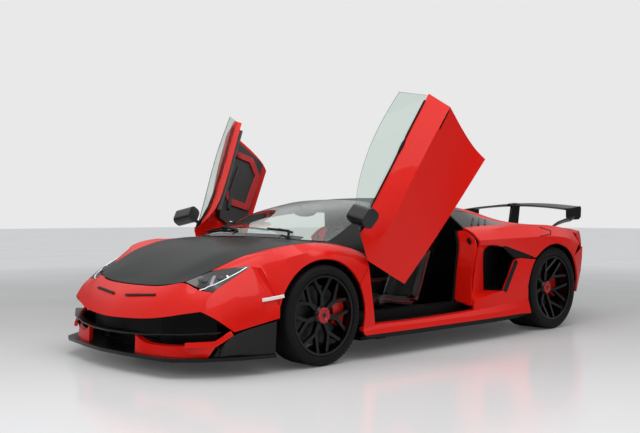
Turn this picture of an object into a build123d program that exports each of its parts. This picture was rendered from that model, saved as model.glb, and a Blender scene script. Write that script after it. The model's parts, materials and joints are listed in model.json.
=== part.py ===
from build123d import *
import math
import os

# ---- overall sizes (mm) -------------------------------------------------
WHEELBASE = 2700.0
FRONT_OVERHANG = 1065.0
REAR_OVERHANG = 1178.0
BODY_WIDTH = 2098.0
ROOF_HEIGHT = 1136.0
SKIN = 14.0            # thickness of a fixed body panel
SHUT = 0.25            # half of the joint line between two fixed panels
OPENING_SHUT = 3.8     # half of the joint line round a door or lid

# ---- wheels and tyres ---------------------------------------------------
TRACK_FRONT = 1720.0
TRACK_REAR = 1680.0
TYRE_R_FRONT = 330.5
TYRE_R_REAR = 355.5
TYRE_W_FRONT = 255.0
TYRE_W_REAR = 345.0
RIM_R_FRONT = 262.0
RIM_R_REAR = 275.0
RIM_WALL = 16.0
SPOKES = 7
ARCH_R_FRONT = 374.0
ARCH_R_REAR = 392.0
KINGPIN_INSET = 15.0   # steering axis, inboard of the wheel's middle plane
DISC_R_FRONT = 195.0
DISC_R_REAR = 190.0
DISC_T = 34.0
RUN_CLEAR = 6.0        # clearance between a turning piece and a still one
SEAT_CLEAR = 0.3       # clearance of pieces that rest on each other

SPLITTER_Z = 100.0     # underside of the splitter above the ground
SPLITTER_T = 22.0

# ---- doors and lids -----------------------------------------------------
DOOR_OPEN_DEG = 58.0
DOOR_HINGE = (1058.0, 800.0, 655.0)
DOOR_AXIS = (-0.081, 0.966, -0.248)
DOOR_DEPTH = 70.0
DOOR_EDGE = 5.0
TRIM_DEPTH = 34.0
TRIM_SEAT = 1.8        # trim stands this far off the door's slightly faceted back
GLASS_T = 5.0
PIN_R = 11.0
BARREL_R = 21.0

FRONT_AXLE_X = (WHEELBASE + FRONT_OVERHANG + REAR_OVERHANG) / 2 - FRONT_OVERHANG
REAR_AXLE_X = FRONT_AXLE_X - WHEELBASE
NOSE_X = FRONT_AXLE_X + FRONT_OVERHANG
TAIL_X = REAR_AXLE_X - REAR_OVERHANG

# Drawing stations and where each of them lies on this car.
X_STATIONS = ((-2471.5, TAIL_X), (-1293.5, REAR_AXLE_X),
              (1406.5, FRONT_AXLE_X), (2471.5, NOSE_X))
Y_STATIONS = ((0.0, 0.0), (450.0, 450.0), (1049.0, BODY_WIDTH / 2))
Z_STATIONS = ((0.0, 0.0), (300.0, 300.0), (800.0, ROOF_HEIGHT - 336.0),
              (1136.0, ROOF_HEIGHT))

FINE = 2               # steps between the drawn points of a feature line

os.makedirs("parts", exist_ok=True)


# ---- points and lines ---------------------------------------------------
def station(value, table):
    """Real place of a drawing coordinate, straight between the stations."""
    low, high = table[0], table[1]
    for pair in zip(table[:-1], table[1:]):
        low, high = pair
        if value <= high[0]:
            break
    share = (value - low[0]) / (high[0] - low[0])
    return low[1] + share * (high[1] - low[1])


def at(x, y, z):
    side = math.copysign(station(abs(y), Y_STATIONS), y)
    return Vector(station(x, X_STATIONS), side, station(z, Z_STATIONS))


def line(*points):
    """Smooth feature line through drawing points, with midpoints added."""
    return refine([at(*point) for point in points], FINE)


def straight(start, end):
    """Points after the start, straight on to the end."""
    return refine([start, end], FINE)[1:]


def halves(values):
    """Numbers with the value halfway between each two added."""
    steps = [[a + (b - a) * k / FINE for k in range(FINE)]
             for a, b in zip(values[:-1], values[1:])]
    return [value for step in steps for value in step] + [values[-1]]


def arch(axle_x, hub_z, radius, angles, sides):
    """Points of a wheel arch; the angle counts up from straight back."""
    points = []
    for angle, side in zip(halves(angles), halves(sides)):
        turn = math.radians(angle)
        x = axle_x - radius * math.cos(turn)
        z = hub_z + radius * math.sin(turn)
        points.append(Vector(x, at(0, side, 0).Y, z))
    return points


def curve_point(points, index, share):
    """Point on the smooth line through the points, after the given one."""
    last = len(points) - 1
    before = points[max(index - 1, 0)]
    here = points[index]
    there = points[min(index + 1, last)]
    after = points[min(index + 2, last)]
    t2, t3 = share * share, share ** 3
    out_of = (there - before) * 0.5
    into = (after - here) * 0.5
    return (here * (2 * t3 - 3 * t2 + 1) + there * (3 * t2 - 2 * t3)
            + out_of * (t3 - 2 * t2 + share) + into * (t3 - t2))


def refine(points, steps):
    fine = []
    for index in range(len(points) - 1):
        fine += [curve_point(points, index, k / steps) for k in range(steps)]
    return fine + [points[-1]]


def surface(lines, along=1, across=1):
    """Grid of points: refined along each line and from line to line."""
    rows = [refine(points, along) for points in lines]
    columns = [refine(list(column), across) for column in zip(*rows)]
    return [list(row) for row in zip(*columns)]


def toward(a, b, distance):
    step = b - a
    return a + step * min(distance / max(step.length, 1e-6), 0.45)


def inset(grid, low, high, first, last):
    """Pull the four borders of a grid in: low and high rows, end columns.

    The gap of the low or high row may be a list, with one gap per column."""
    grid = [list(row) for row in grid]
    for row in grid:
        row[0] = toward(row[0], row[1], first)
        row[-1] = toward(row[-1], row[-2], last)
    for edge, inner, gap in ((0, 1, low), (-1, -2, high)):
        gaps = gap if isinstance(gap, list) else [gap] * len(grid[edge])
        grid[edge] = [toward(a, b, c) for a, b, c in zip(grid[edge], grid[inner], gaps)]
    return grid


def inward(point, depth):
    """The same point, moved towards the middle of the car."""
    core = Vector(point.X * 0.92, math.copysign(min(abs(point.Y), 350), point.Y),
                  330 if point.Z > 330 else 0.5 * (point.Z + 330))
    step = core - point
    return point + step * (depth / step.length)


def tri(a, b, c):
    return Face(Wire.make_polygon([a, b, c], close=True))


def quads(rows):
    faces = []
    for upper, lower in zip(rows[:-1], rows[1:]):
        for k in range(len(upper) - 1):
            a, b = upper[k], upper[k + 1]
            c, d = lower[k + 1], lower[k]
            faces += [tri(a, b, c), tri(a, c, d)]
    return faces


def closed(outer, inner):
    """Solid between two grids of the same size."""
    faces = quads(outer) + quads(inner)
    edges = ((outer[0], inner[0]), (outer[-1], inner[-1]),
             ([row[0] for row in outer], [row[0] for row in inner]),
             ([row[-1] for row in outer], [row[-1] for row in inner]))
    for rim, back in edges:
        faces += quads([rim, back])
    solid = Solid(Shell(faces))
    return solid if solid.volume > 0 else Solid(Shell(faces[::-1]))


def sheet(lines, depth=SKIN, gaps=(SHUT,) * 4, along=1, across=1, shift=0.0):
    """Panel that follows the lines, thickened towards the middle of the car."""
    grid = inset(surface(lines, along, across), *gaps)
    outer = [[inward(p, shift) if shift else p for p in row] for row in grid]
    inner = [[inward(p, shift + depth) for p in row] for row in grid]
    return closed(outer, inner)


def span(lines, **options):
    """Lines of the left half, from the middle outward, made whole."""
    mirrored = [[Vector(p.X, -p.Y, p.Z) for p in row] for row in lines[:0:-1]]
    return sheet(mirrored + lines, **options)


def across_span(lines, **options):
    """As span, for lines whose points run from the middle outward."""
    whole = [[Vector(p.X, -p.Y, p.Z) for p in row[:0:-1]] + row for row in lines]
    return sheet(whole, **options)


def other_side(shape):
    return mirror(shape, about=Plane.XZ)


def both(shape):
    return Compound([shape, other_side(shape)])


def board(corners, low, high):
    """Upright prism from plan corners (x, y)."""
    points = [at(x, y, 0) for x, y in corners]
    base = Face(Wire.make_polygon([Vector(p.X, p.Y, low) for p in points], close=True))
    return extrude(base, amount=high - low, dir=(0, 0, 1))


def slab(corners, side_low, side_high):
    """Prism from side-view corners (x, z), between two y values."""
    low, high = at(0, side_low, 0).Y, at(0, side_high, 0).Y
    points = [at(x, 0, z) for x, z in corners]
    base = Face(Wire.make_polygon([Vector(p.X, low, p.Z) for p in points], close=True))
    return extrude(base, amount=high - low, dir=(0, 1, 0))


def block(low, high):
    size = [b - a for a, b in zip(low, high)]
    middle = [(a + b) / 2 for a, b in zip(low, high)]
    return Pos(*middle) * Box(*size)


def body_block(low, high):
    """Block between two opposite corners in drawing coordinates."""
    return block(at(*low), at(*high))


def rod(start, end, radius):
    start, end = Vector(*start), Vector(*end)
    plane = Plane(origin=start, z_dir=end - start)
    return extrude(plane * Circle(radius), amount=(end - start).length)


def solid_of(shape):
    """The single solid of a boolean result."""
    solids = shape.solids()
    return solids[0] if len(solids) == 1 else shape


def largest(shape):
    return max(shape.solids(), key=lambda solid: solid.volume)


def save(shape, name):
    export_step(shape, "parts/" + name + ".step")


# ---- feature lines of the left half (closed body) -----------------------
BONNET_MIDDLE = line((2250, 0, 523), (2043, 0, 640), (1868, 0, 716),
                     (1725, 0, 760), (1560, 0, 797), (1405, 0, 824))
BONNET_CREASE = line((2238, 350, 530), (2040, 400, 640), (1868, 440, 720),
                     (1725, 470, 762), (1540, 520, 797), (1378, 560, 819))
BONNET_SEAM = line((2188, 530, 565), (2043, 605, 629), (1868, 660, 709),
                   (1725, 705, 748), (1560, 755, 782), (1345, 816, 800))

NOSE_TOP = line((2250, 0, 523), (2238, 350, 530), (2188, 530, 565),
                (2165, 640, 521), (2150, 780, 517))
NOSE_MID = line((2370, 0, 452), (2335, 350, 455), (2275, 540, 480),
                (2245, 660, 478), (2205, 790, 470))
NOSE_LIP = line((2432, 0, 325), (2388, 350, 335), (2330, 560, 362),
                (2290, 680, 385), (2245, 790, 403))

INTAKE_SIDE = line((2245, 790, 403), (2206, 888, 365), (2100, 930, 282))
LAMP_OUTER = line((2150, 780, 517), (2030, 815, 590), (1882, 814, 663))
FENDER_SEAM = (BONNET_SEAM[FINE:]
               + line((1345, 816, 800), (1130, 872, 775), (990, 925, 718))[1:])
FENDER_CREST = line((1900, 790, 668), (1800, 825, 735), (1690, 850, 772),
                    (1540, 872, 795), (1340, 890, 796), (1140, 925, 755),
                    (984, 955, 680))
FENDER_SIDE = line((1845, 868, 652), (1765, 905, 690), (1650, 945, 722),
                   (1520, 962, 742), (1340, 970, 742), (1150, 972, 700),
                   (981, 972, 630))
ARCH_ANGLES_FRONT = (168, 150, 128, 105, 75, 50, 30)
HUB_FRONT = TYRE_R_FRONT
HUB_REAR = TYRE_R_REAR
FRONT_ARCH = arch(FRONT_AXLE_X, HUB_FRONT, ARCH_R_FRONT, ARCH_ANGLES_FRONT,
                  (965, 968, 976, 985, 990, 990, 984))

DOOR_BOTTOM = line((930, 980, 240), (640, 984, 236), (330, 986, 238),
                   (60, 986, 244), (-172, 984, 250))
DOOR_LOW = line((944, 984, 330), (640, 985, 300), (330, 975, 290),
                (60, 958, 315), (-180, 945, 345))
DOOR_MID = line((962, 984, 480), (640, 984, 470), (330, 975, 480),
                (60, 960, 500), (-205, 945, 530))
DOOR_CREASE = line((979, 980, 630), (640, 992, 650), (390, 994, 700),
                   (76, 994, 749), (-235, 988, 780))
DOOR_BELT = line((862, 945, 785), (633, 868, 780), (330, 842, 806),
                 (60, 826, 842), (-262, 815, 880))
GLASS_TOP = line((790, 884, 818), (633, 798, 907), (330, 741, 989),
                 (60, 713, 1020), (-150, 704, 1026))

SCREEN_FOOT = line((1365, 0, 829), (1342, 320, 825), (1288, 600, 814),
                   (1200, 790, 804))
SCREEN_LOW = line((1120, 0, 946), (1105, 300, 938), (1060, 545, 915),
                  (990, 740, 880))
SCREEN_HIGH = line((800, 0, 1050), (795, 280, 1042), (775, 500, 1018),
                   (745, 665, 985))
SCREEN_TOP = line((490, 0, 1110), (490, 260, 1103), (490, 450, 1085),
                  (490, 600, 1055))
PILLAR_IN = line((1200, 790, 804), (990, 740, 880), (745, 665, 985),
                 (490, 600, 1055))
PILLAR_OUT = line((990, 925, 718), (855, 905, 800), (640, 790, 930),
                  (470, 752, 980))
ROOF_MIDDLE = line((490, 0, 1110), (250, 0, 1131), (0, 0, 1136),
                   (-165, 0, 1132), (-430, 0, 1106))
ROOF_SIDE = line((490, 450, 1085), (250, 440, 1108), (0, 430, 1112),
                 (-165, 430, 1108), (-430, 430, 1080))
ROOF_RAIL = line((490, 600, 1055), (250, 600, 1075), (0, 595, 1080),
                 (-165, 590, 1077), (-430, 560, 1058))
ROOF_EDGE = line((470, 752, 980), (250, 727, 1012), (0, 713, 1030),
                 (-165, 706, 1031), (-430, 700, 1012))

COVER_EDGE = line((-430, 560, 1058), (-640, 545, 1035), (-900, 530, 990),
                  (-1100, 522, 945), (-1290, 520, 912), (-1660, 555, 880), (-2060, 600, 850))
COVER_MIDDLE = line((-430, 0, 1106), (-640, 0, 1080), (-900, 0, 1035),
                    (-1100, 0, 990), (-1290, 0, 950), (-1660, 0, 895), (-2060, 0, 860))

HIP_IN = line((-270, 815, 882), (-540, 800, 900), (-860, 775, 905), (-1050, 760, 906),
              (-1290, 741, 905), (-1600, 719, 890), (-1900, 699, 870))
BUTTRESS_TOP = line((-430, 700, 1012), (-640, 690, 985), (-900, 681, 940),
                    (-1100, 700, 920), (-1290, 741, 905)) + HIP_IN[4 * FINE + 1:]
FENDER_TAIL = arch(FRONT_AXLE_X, HUB_FRONT, ARCH_R_FRONT, (30, 8, -8, -18.75),
                   (984, 984, 984, 984))
DOOR_FRONT_EDGE = line((981, 972, 630), (962, 976, 480), (944, 982, 330), (930, 981, 231.2))
HIP_LOW = (line((-255, 980, 745), (-540, 985, 752))
           + arch(REAR_AXLE_X, HUB_REAR, ARCH_R_REAR, (136, 115, 90, 62, 42),
                  (1012, 1030, 1040, 1040, 1030)))
BEHIND_SCOOP = line((-561, 992, 379), (-640, 996, 505), (-708, 1000, 624), (-860, 1006, 622))
ARCH_FRONT_EDGE = arch(REAR_AXLE_X, HUB_REAR, ARCH_R_REAR, (176, 164, 150, 139),
                       (1002, 1008, 1012, 1014))
UNDER_SCOOP = line((-192, 978, 316), (-561, 992, 379), (-905, 1002, 385))
ROCKER_TOP = line((1052, 985, 210), (925, 983, 231), (600, 985, 227), (200, 986, 230),
                  (-178, 984, 240), (-540, 990, 262), (-908, 1000, 285))
ROCKER_LOW = line((1062, 1000, 192), (925, 1003, 203), (600, 1005, 204), (200, 1006, 205),
                  (-178, 1008, 206), (-540, 1010, 210), (-915, 1012, 222))
SKIRT_LOW = line((1050, 1014, 156), (900, 1020, 143), (600, 1024, 138), (200, 1025, 138),
                 (-178, 1026, 138), (-640, 1026, 141), (-925, 1018, 168))
TAIL_ROWS = (line((-1900, 700, 870), (-2080, 690, 857), (-2250, 640, 845)),
             line((-1860, 890, 820), (-2080, 790, 838), (-2265, 690, 830)),
             line((-1850, 960, 700), (-2080, 812, 765), (-2280, 700, 770)),
             line((-1835, 965, 560), (-2080, 820, 620), (-2285, 705, 620)),
             line((-1800, 955, 400), (-2060, 805, 430), (-2250, 715, 450)),
             line((-1770, 945, 290), (-2020, 780, 290), (-2180, 710, 320)))
ARCH_REAR_EDGE = arch(REAR_AXLE_X, HUB_REAR, ARCH_R_REAR, (42, 20, 0, -14),
                      (1030, 1015, 1000, 985))


# ---- painted and carbon panels ------------------------------------------
def bonnet():
    rows = [BONNET_MIDDLE, BONNET_CREASE, BONNET_SEAM]
    gaps = (OPENING_SHUT,) * 4
    skin = span(rows, gaps=gaps, depth=BONNET_DEPTH)
    return solid_of(skin + both(bonnet_arm()))


def bonnet_arm():
    """Gooseneck from the hinge pin, under the cowl's edge, to the bonnet."""
    x, z = BONNET_HINGE
    plate = slab(((x - 11, z), (x - 10, z - 45), (x + 73, z - 45), (x + 111, z + 18),
                  (x + 83, z + 18), (x + 63, z - 27), (x + 12, z - 27), (x + 12, z)),
                 BONNET_HINGE_Y, BONNET_HINGE_Y + 12)
    eye = rod(at(x, BONNET_HINGE_Y, z), at(x, BONNET_HINGE_Y + 12, z), 11)
    bore = rod(at(x, BONNET_HINGE_Y - 5, z), at(x, BONNET_HINGE_Y + 17, z),
               LID_PIN_R + SEAT_CLEAR)
    return plate + eye - bore


def bonnet_bracket():
    """Pin of the bonnet's hinge with its bracket on the firewall."""
    x, z = BONNET_HINGE
    pin = rod(at(x, BONNET_HINGE_Y - 12, z), at(x, BONNET_HINGE_Y + 14, z), LID_PIN_R)
    wall = BULKHEAD_X
    plate = slab(((wall, 640), (wall, 704), (x - 14, z + 12), (x + 12, z + 12),
                  (x + 12, z - 12)), BONNET_HINGE_Y - 14, BONNET_HINGE_Y - 4)
    return solid_of(pin + plate)


BONNET_HINGE = (1335.0, 775.0)
BONNET_HINGE_Y = 520.0
COVER_HINGE = (-443.0, 1098.0)
LID_PIN_R = 5.0


def cowl():
    """Black panel between the bonnet's rear edge and the windscreen's foot."""
    front = line((1378, 0, 804), (1360, 320, 802), (1332, 600, 796), (1318, 778, 787))
    back = [inward(p, GLASS_T + 1 + SEAT_CLEAR) for p in SCREEN_FOOT]
    return across_span([front, back], depth=8.0)


def front_fender():
    front_row = [FENDER_SEAM, FENDER_CREST, FENDER_SIDE, FRONT_ARCH]
    foot = 2 * FINE
    seam_gaps = [OPENING_SHUT] * (len(FENDER_SEAM) - foot) + [SHUT] * foot
    return sheet(front_row, gaps=(seam_gaps, SHUT, 1.0, OPENING_SHUT))


def nose():
    return across_span([NOSE_TOP, NOSE_MID, NOSE_LIP], gaps=(OPENING_SHUT, SHUT, SHUT, SHUT))


BONNET_DEPTH = 22.0


def fender_corner():
    """Fender in front of the wheel, under the headlamp's outer edge."""
    upper = LAMP_OUTER + straight(LAMP_OUTER[-1], FENDER_SIDE[0])
    middle = line((2205, 790, 470), (2080, 905, 480), (1920, 950, 470))
    middle += straight(middle[-1], FRONT_ARCH[0])
    return sheet([upper, middle, INTAKE_SIDE + corner_foot()], gaps=(SHUT, SHUT, SHUT, 1.0))


def corner_foot():
    """Lower edge of the corner, over the side blade, from the intake to the arch."""
    end = arch(FRONT_AXLE_X, HUB_FRONT, ARCH_R_FRONT, (178, 170), (972, 968))[0]
    return straight(INTAKE_SIDE[-1], end)


def headlamp():
    inner = BONNET_SEAM[:FINE] + line((2043, 605, 629), (1972, 697, 648), (1903, 786, 667))
    outer = NOSE_TOP[3 * FINE:] + LAMP_OUTER[1:]
    return sheet([inner, outer], depth=40.0, gaps=(OPENING_SHUT, 1.0, 5.0, 6.0))


def windscreen():
    rows = [SCREEN_FOOT, SCREEN_LOW, SCREEN_HIGH, SCREEN_TOP]
    return across_span(rows, depth=GLASS_T + 1, across=FINE)


def a_pillar():
    """Pillar with its wide foot between the cowl and the fender."""
    foot = 2 * FINE
    inner = line((1286, 803, 801), (1245, 795, 803), (1200, 790, 804)) + PILLAR_IN[1:]
    outer = FENDER_SEAM[-foot - 1:] + PILLAR_OUT[1:]
    outer_gaps = [SHUT] * (foot + 1) + [OPENING_SHUT] * (len(outer) - foot - 1)
    return sheet([inner, outer], gaps=(SHUT, outer_gaps, 10.0, SHUT))


def roof():
    rows = [ROOF_MIDDLE, ROOF_SIDE, ROOF_RAIL, ROOF_EDGE]
    gaps = (OPENING_SHUT, OPENING_SHUT, SHUT, SHUT)
    return span(rows, gaps=gaps, depth=18.0)


def door_grid():
    rows = [DOOR_BELT, DOOR_CREASE, DOOR_MID, DOOR_LOW, DOOR_BOTTOM]
    return inset(surface(rows), *(OPENING_SHUT,) * 4)


def closed_door():
    """Whole thickness of the door; thin at its front edge, by the hinge."""
    outer = door_grid()
    depths = [DOOR_EDGE, (DOOR_EDGE + DOOR_DEPTH) / 2] + [DOOR_DEPTH] * len(outer[0])
    inner = [[inward(p, depth) for p, depth in zip(row, depths)] for row in outer]
    return closed(outer, inner) + door_arm()


def closed_door_trim():
    back = [[inward(p, DOOR_DEPTH) for p in row[2:]] for row in door_grid()[:-1]]
    grid = inset(back, 30.0, 40.0, 12.0, 50.0)
    outer = [[inward(p, TRIM_SEAT) for p in row] for row in grid]
    inner = [[inward(p, TRIM_DEPTH) for p in row] for row in grid]
    return closed(outer, inner)


def closed_door_glass():
    gaps = (9.0, 0.0, 9.0, OPENING_SHUT)
    foot = []
    for p in door_grid()[0]:
        along = inward(p, 1.0) - p
        up = Vector(1, 0, 0).cross(along)
        up = up if up.Z > 0 else up * -1
        foot.append(inward(p, 20.0) + up * (SEAT_CLEAR / up.length))
    return sheet([GLASS_TOP, foot], depth=GLASS_T, gaps=gaps, across=2)


MIRROR = (772.0, 988.0, 876.0)


def closed_mirror():
    head = Pos(*at(*MIRROR)) * Box(130, 186, 104)
    head = fillet(head.edges().filter_by(Axis.Y), 38)
    stalk = rod(at(790, 922, 778), at(*MIRROR) - Vector(0, 30, 20), 15)
    return solid_of(head + stalk - closed_door() - closed_door_glass())


def opened(shape):
    """The door's pieces in their rest pose, swung up round the hinge."""
    axis = Axis(at(*DOOR_HINGE), Vector(*DOOR_AXIS))
    return shape.rotate(axis, DOOR_OPEN_DEG)


# ---- running gear ------------------------------------------------------
def turned(profile, y):
    """Ring about the wheel's axis: profile of (across, radius) points."""
    points = [Vector(0, y + across, radius) for across, radius in profile]
    face = Face(Wire.make_polygon(points, close=True))
    return revolve(face, axis=Axis.Y, revolution_arc=360)


def tyre(radius, width, rim_radius):
    half = width / 2
    bead = rim_radius + SEAT_CLEAR
    shoulder = 0.16 * width
    profile = ((-half + 22, bead), (-half, bead + 22), (-half, radius - 34),
               (-half + shoulder / 2, radius - 8), (-half + shoulder, radius),
               (half - shoulder, radius), (half - shoulder / 2, radius - 8),
               (half, radius - 34), (half, bead + 22), (half - 22, bead))
    return turned(profile, 0)


def wheel_rim(rim_radius, width, face_depth, disc_radius):
    """Barrel, hub, spokes and brake disc about the wheel's own middle."""
    half = width / 2 - 12
    wall = rim_radius - RIM_WALL
    barrel = turned(((-half, wall), (-half, rim_radius), (half, rim_radius),
                     (half, wall)), 0)
    face_y = half - face_depth
    hub = turned(((face_y - 70, 0.0), (face_y - 70, 48), (face_y - 8, 62),
                  (face_y + 10, 50), (face_y + 10, 0.0)), 0)
    spokes = []
    for k in range(SPOKES):
        spoke = spoke_of(face_y, half - 8, wall + 4)
        spokes.append(spoke.rotate(Axis.Y, k * 360 / SPOKES))
    plate = turned(((face_y - 70 - DISC_T, 0.0), (face_y - 70 - DISC_T, disc_radius),
                    (face_y - 70, disc_radius), (face_y - 70, 0.0)), 0)
    return solid_of(barrel + hub + spokes + plate)


def spoke_of(hub_y, rim_y, reach):
    """One Y-shaped spoke, forked at its outer half."""
    fork = reach * 0.55
    parts = [bar((40, 0), (fork, 0), 30, hub_y - 4, hub_y - 2, 34)]
    for side in (-1, 1):
        tip = math.radians(17 * side)
        end = (reach * math.cos(tip), reach * math.sin(tip))
        parts.append(bar((fork - 8, 0), end, 22, hub_y - 2, rim_y - 10, 28))
    return parts[0] + parts[1] + parts[2]


def bar(start, end, width, y_start, y_end, thick):
    """Straight spoke leg in the wheel's plane, (z, x) ends, sloping in y."""
    run = (end[0] - start[0], end[1] - start[1])
    length = math.hypot(*run)
    out = (-run[1] / length * width / 2, run[0] / length * width / 2)
    corners = []
    for place, y in ((start, y_start), (end, y_end)):
        for sign in (1, -1):
            z = place[0] + sign * out[0]
            x = place[1] + sign * out[1]
            corners.append((Vector(x, y, z), Vector(x, y - thick, z)))
    (a, a2), (b, b2), (c, c2), (d, d2) = corners
    rows = [[a, b], [c, d]]
    backs = [[a2, b2], [c2, d2]]
    return closed(rows, backs)


def front_wheel_place(side):
    return Pos(FRONT_AXLE_X, side * TRACK_FRONT / 2, TYRE_R_FRONT)


def rear_wheel_place(side):
    return Pos(REAR_AXLE_X, side * TRACK_REAR / 2, TYRE_R_REAR)


def placed(shape, side, place):
    """Left or right copy of a wheel part; the right one is mirrored."""
    shape = shape if side > 0 else other_side(shape)
    return place(side) * shape


FACE_FRONT = 18.0
FACE_REAR = 75.0


POST_T = 60.0          # upright, measured across the car


def carrier_back(width, face_depth):
    """Outer face of the upright, from the wheel's middle plane."""
    return width / 2 - 12 - face_depth - 70 - DISC_T - RUN_CLEAR


def carrier(width, face_depth, disc_radius, rim_radius, height):
    """Upright with its brake caliper, about the wheel's own middle."""
    back = carrier_back(width, face_depth)
    disc_back = back + RUN_CLEAR
    post = Pos(0, back - POST_T / 2, 0) * Box(76, POST_T, 2 * height)
    boss = turned(((back - 8, 0.0), (back - 8, 44), (disc_back - SEAT_CLEAR, 44),
                   (disc_back - SEAT_CLEAR, 0.0)), 0)
    caliper_outer = min(rim_radius - RIM_WALL - RUN_CLEAR - 4, disc_radius + 38)
    ring = turned(((-26, disc_radius - 60), (-26, caliper_outer),
                   (26, caliper_outer), (26, disc_radius - 60)), disc_back + DISC_T / 2)
    slot = turned(((-24, 0.0), (-24, disc_radius + RUN_CLEAR),
                   (24, disc_radius + RUN_CLEAR), (24, 0.0)), disc_back + DISC_T / 2)
    wide = turned(((-44, disc_radius - 60), (-44, caliper_outer),
                   (44, caliper_outer), (44, disc_radius - 60)), disc_back + DISC_T / 2)
    corners = [Vector(0, -300, 0), Vector(-400, -300, -190), Vector(-400, -300, 190)]
    wedge = extrude(Face(Wire.make_polygon(corners, close=True)), amount=600,
                    dir=(0, 1, 0))
    caliper = (wide - slot) & wedge
    arm = Pos(-95, back - 22, 0) * Box(130, 44, 120)
    return solid_of(post + boss + arm + caliper)


def front_axle():
    """Lower and upper arms with the subframe that carries them."""
    frame = block((FRONT_AXLE_X - 100, -430, FLOOR_TOP),
                  (FRONT_AXLE_X + 100, 430, AXLE_FRAME_TOP))
    parts = [frame]
    for side in (1, -1):
        for level in (HUB_FRONT - BALL_HEIGHT - ARM_T, HUB_FRONT + BALL_HEIGHT):
            parts.append(front_arm(side, level))
        low, high = sorted((side * 400, side * 450))
        parts.append(block((FRONT_AXLE_X - 60, low, FLOOR_TOP),
                           (FRONT_AXLE_X + 60, high, HUB_FRONT + BALL_HEIGHT + ARM_T)))
    return solid_of(parts[0] + parts[1:])


AXLE_FRAME_TOP = 190.0
BALL_HEIGHT = 150.0    # ball joints above and below the front hub
ARM_T = 24.0
KINGPIN_Y = TRACK_FRONT / 2 - KINGPIN_INSET


def front_arm(side, level):
    tip = KINGPIN_Y - 15
    points = ((FRONT_AXLE_X - 160, 405), (FRONT_AXLE_X - 20, 590),
              (FRONT_AXLE_X - 20, tip), (FRONT_AXLE_X + 20, tip),
              (FRONT_AXLE_X + 20, 590), (FRONT_AXLE_X + 160, 405))
    corners = [Vector(x, side * y, level) for x, y in points]
    return extrude(Face(Wire.make_polygon(corners, close=True)), amount=ARM_T,
                   dir=(0, 0, 1))


def fender_tail():
    middle = [(a + b) * 0.5 for a, b in zip(FENDER_TAIL, DOOR_FRONT_EDGE)]
    middle[-1] = ROCKER_TOP[1] + Vector(0, -1, 2 * SHUT)
    rows = [FENDER_TAIL, middle, DOOR_FRONT_EDGE]
    return sheet(rows, gaps=(SHUT, OPENING_SHUT, SHUT, SHUT))


def bumper_blade():
    """Painted blade under each side intake of the nose."""
    upper = line((2400, 300, 238), (2385, 400, 184), (2300, 650, 186), (2194, 884, 204))
    low = SPLITTER_Z + SPLITTER_T + SEAT_CLEAR
    foot = line((2405, 300, 0), (2390, 430, 0), (2310, 660, 0), (2194, 800, 0))
    lower = [Vector(p.X, p.Y, low) for p in foot]
    return sheet([upper, lower], depth=30.0, gaps=(SHUT, 0.0, SHUT, 6.0))


def intake_back():
    """Ducts behind the nose openings: a back wall between the side cheeks."""
    upper = line((2250, 0, 332), (2240, 350, 340), (2190, 560, 366), (2110, 770, 402))
    low = SPLITTER_Z + SPLITTER_T + SEAT_CLEAR
    lower = [Vector(p.X, p.Y, low) for p in upper]
    return across_span([upper, lower], gaps=(SHUT, 0.0, SHUT, SHUT))


def splitter():
    outline = ((2471.5, 0), (2455, 250), (2405, 600), (2370, 680), (2230, 800),
               (2030, 900), (1800, 962), (1800, 640), (2080, 420), (2120, 0))
    corners = list(outline) + [(x, -y) for x, y in outline[-2:0:-1]]
    plate = board(corners, SPLITTER_Z, SPLITTER_Z + SPLITTER_T)
    return solid_of(plate + both(side_blade()))


def side_blade():
    """Upright blade on the splitter's end, under the corner of the nose."""
    top = line((2180, 893, 190), (2100, 926, 262), (1960, 950, 300), (1800, 966, 326))
    foot = line((2180, 805, 112), (2100, 850, 112), (1960, 905, 112), (1800, 950, 112))
    return sheet([top, foot], depth=16.0, gaps=(0.0,) * 4)


FLOOR_Z = SPLITTER_Z + SPLITTER_T + SEAT_CLEAR
FLOOR_T = 24.0
FLOOR_TOP = FLOOR_Z + FLOOR_T + SEAT_CLEAR
SILL_TOP = 298.0
SILL_STEP = 230.0
ROCKER_DEPTH = 50.0
SILL_SIDE = at(0, 984, 0).Y - ROCKER_DEPTH - SEAT_CLEAR


def jack_pads():
    """Lifting points under the sills: a flat pad at each corner of the cabin."""
    pads = []
    for x in (-560.0, 780.0):
        for side in (1, -1):
            corners = ((x - 45, side * 830), (x + 45, side * 830),
                       (x + 45, side * 900), (x - 45, side * 900))
            pads.append(board(corners, FLOOR_Z - JACK_PAD_T, FLOOR_Z))
    return pads


JACK_PAD_T = 12.0


def floor_pan():
    half = ((2100, 0), (2060, 520), (1020, 520), (1020, 925), (-890, 925),
            (-890, 600), (-1760, 600), (-1760, 0))
    corners = list(half) + [(x, -y) for x, y in half[-2:0:-1]]
    return solid_of(board(corners, FLOOR_Z, FLOOR_Z + FLOOR_T) + jack_pads())


def sills():
    top = FLOOR_Z + FLOOR_T
    outer = ((-330, 740), (1000, 740), (1000, 984), (-330, 984))
    inner = ((-330, 740), (1000, 740), (1000, 850), (-330, 850))
    low = board(outer, top, SILL_STEP) & body_block((-400, 700, 0), (1100, 984, 400))
    keep = block((TAIL_X, 0, 0), (NOSE_X, SILL_SIDE, 400))
    return both(solid_of((low & keep) + board(inner, top, SILL_TOP)))


def front_bulkhead():
    """Firewall with the footwell's side walls."""
    front, back = BULKHEAD_X, BULKHEAD_X - 12
    half = ((front, 0), (front, 560), (1012, 560), (1012, 780), (1000, 780),
            (1000, 548), (back, 548), (back, 0))
    corners = list(half) + [(x, -y) for x, y in half[-2:0:-1]]
    return board(corners, FLOOR_Z + FLOOR_T, BULKHEAD_TOP)


BULKHEAD_TOP = 705.0
BULKHEAD_X = 1202.0    # its front face


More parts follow.
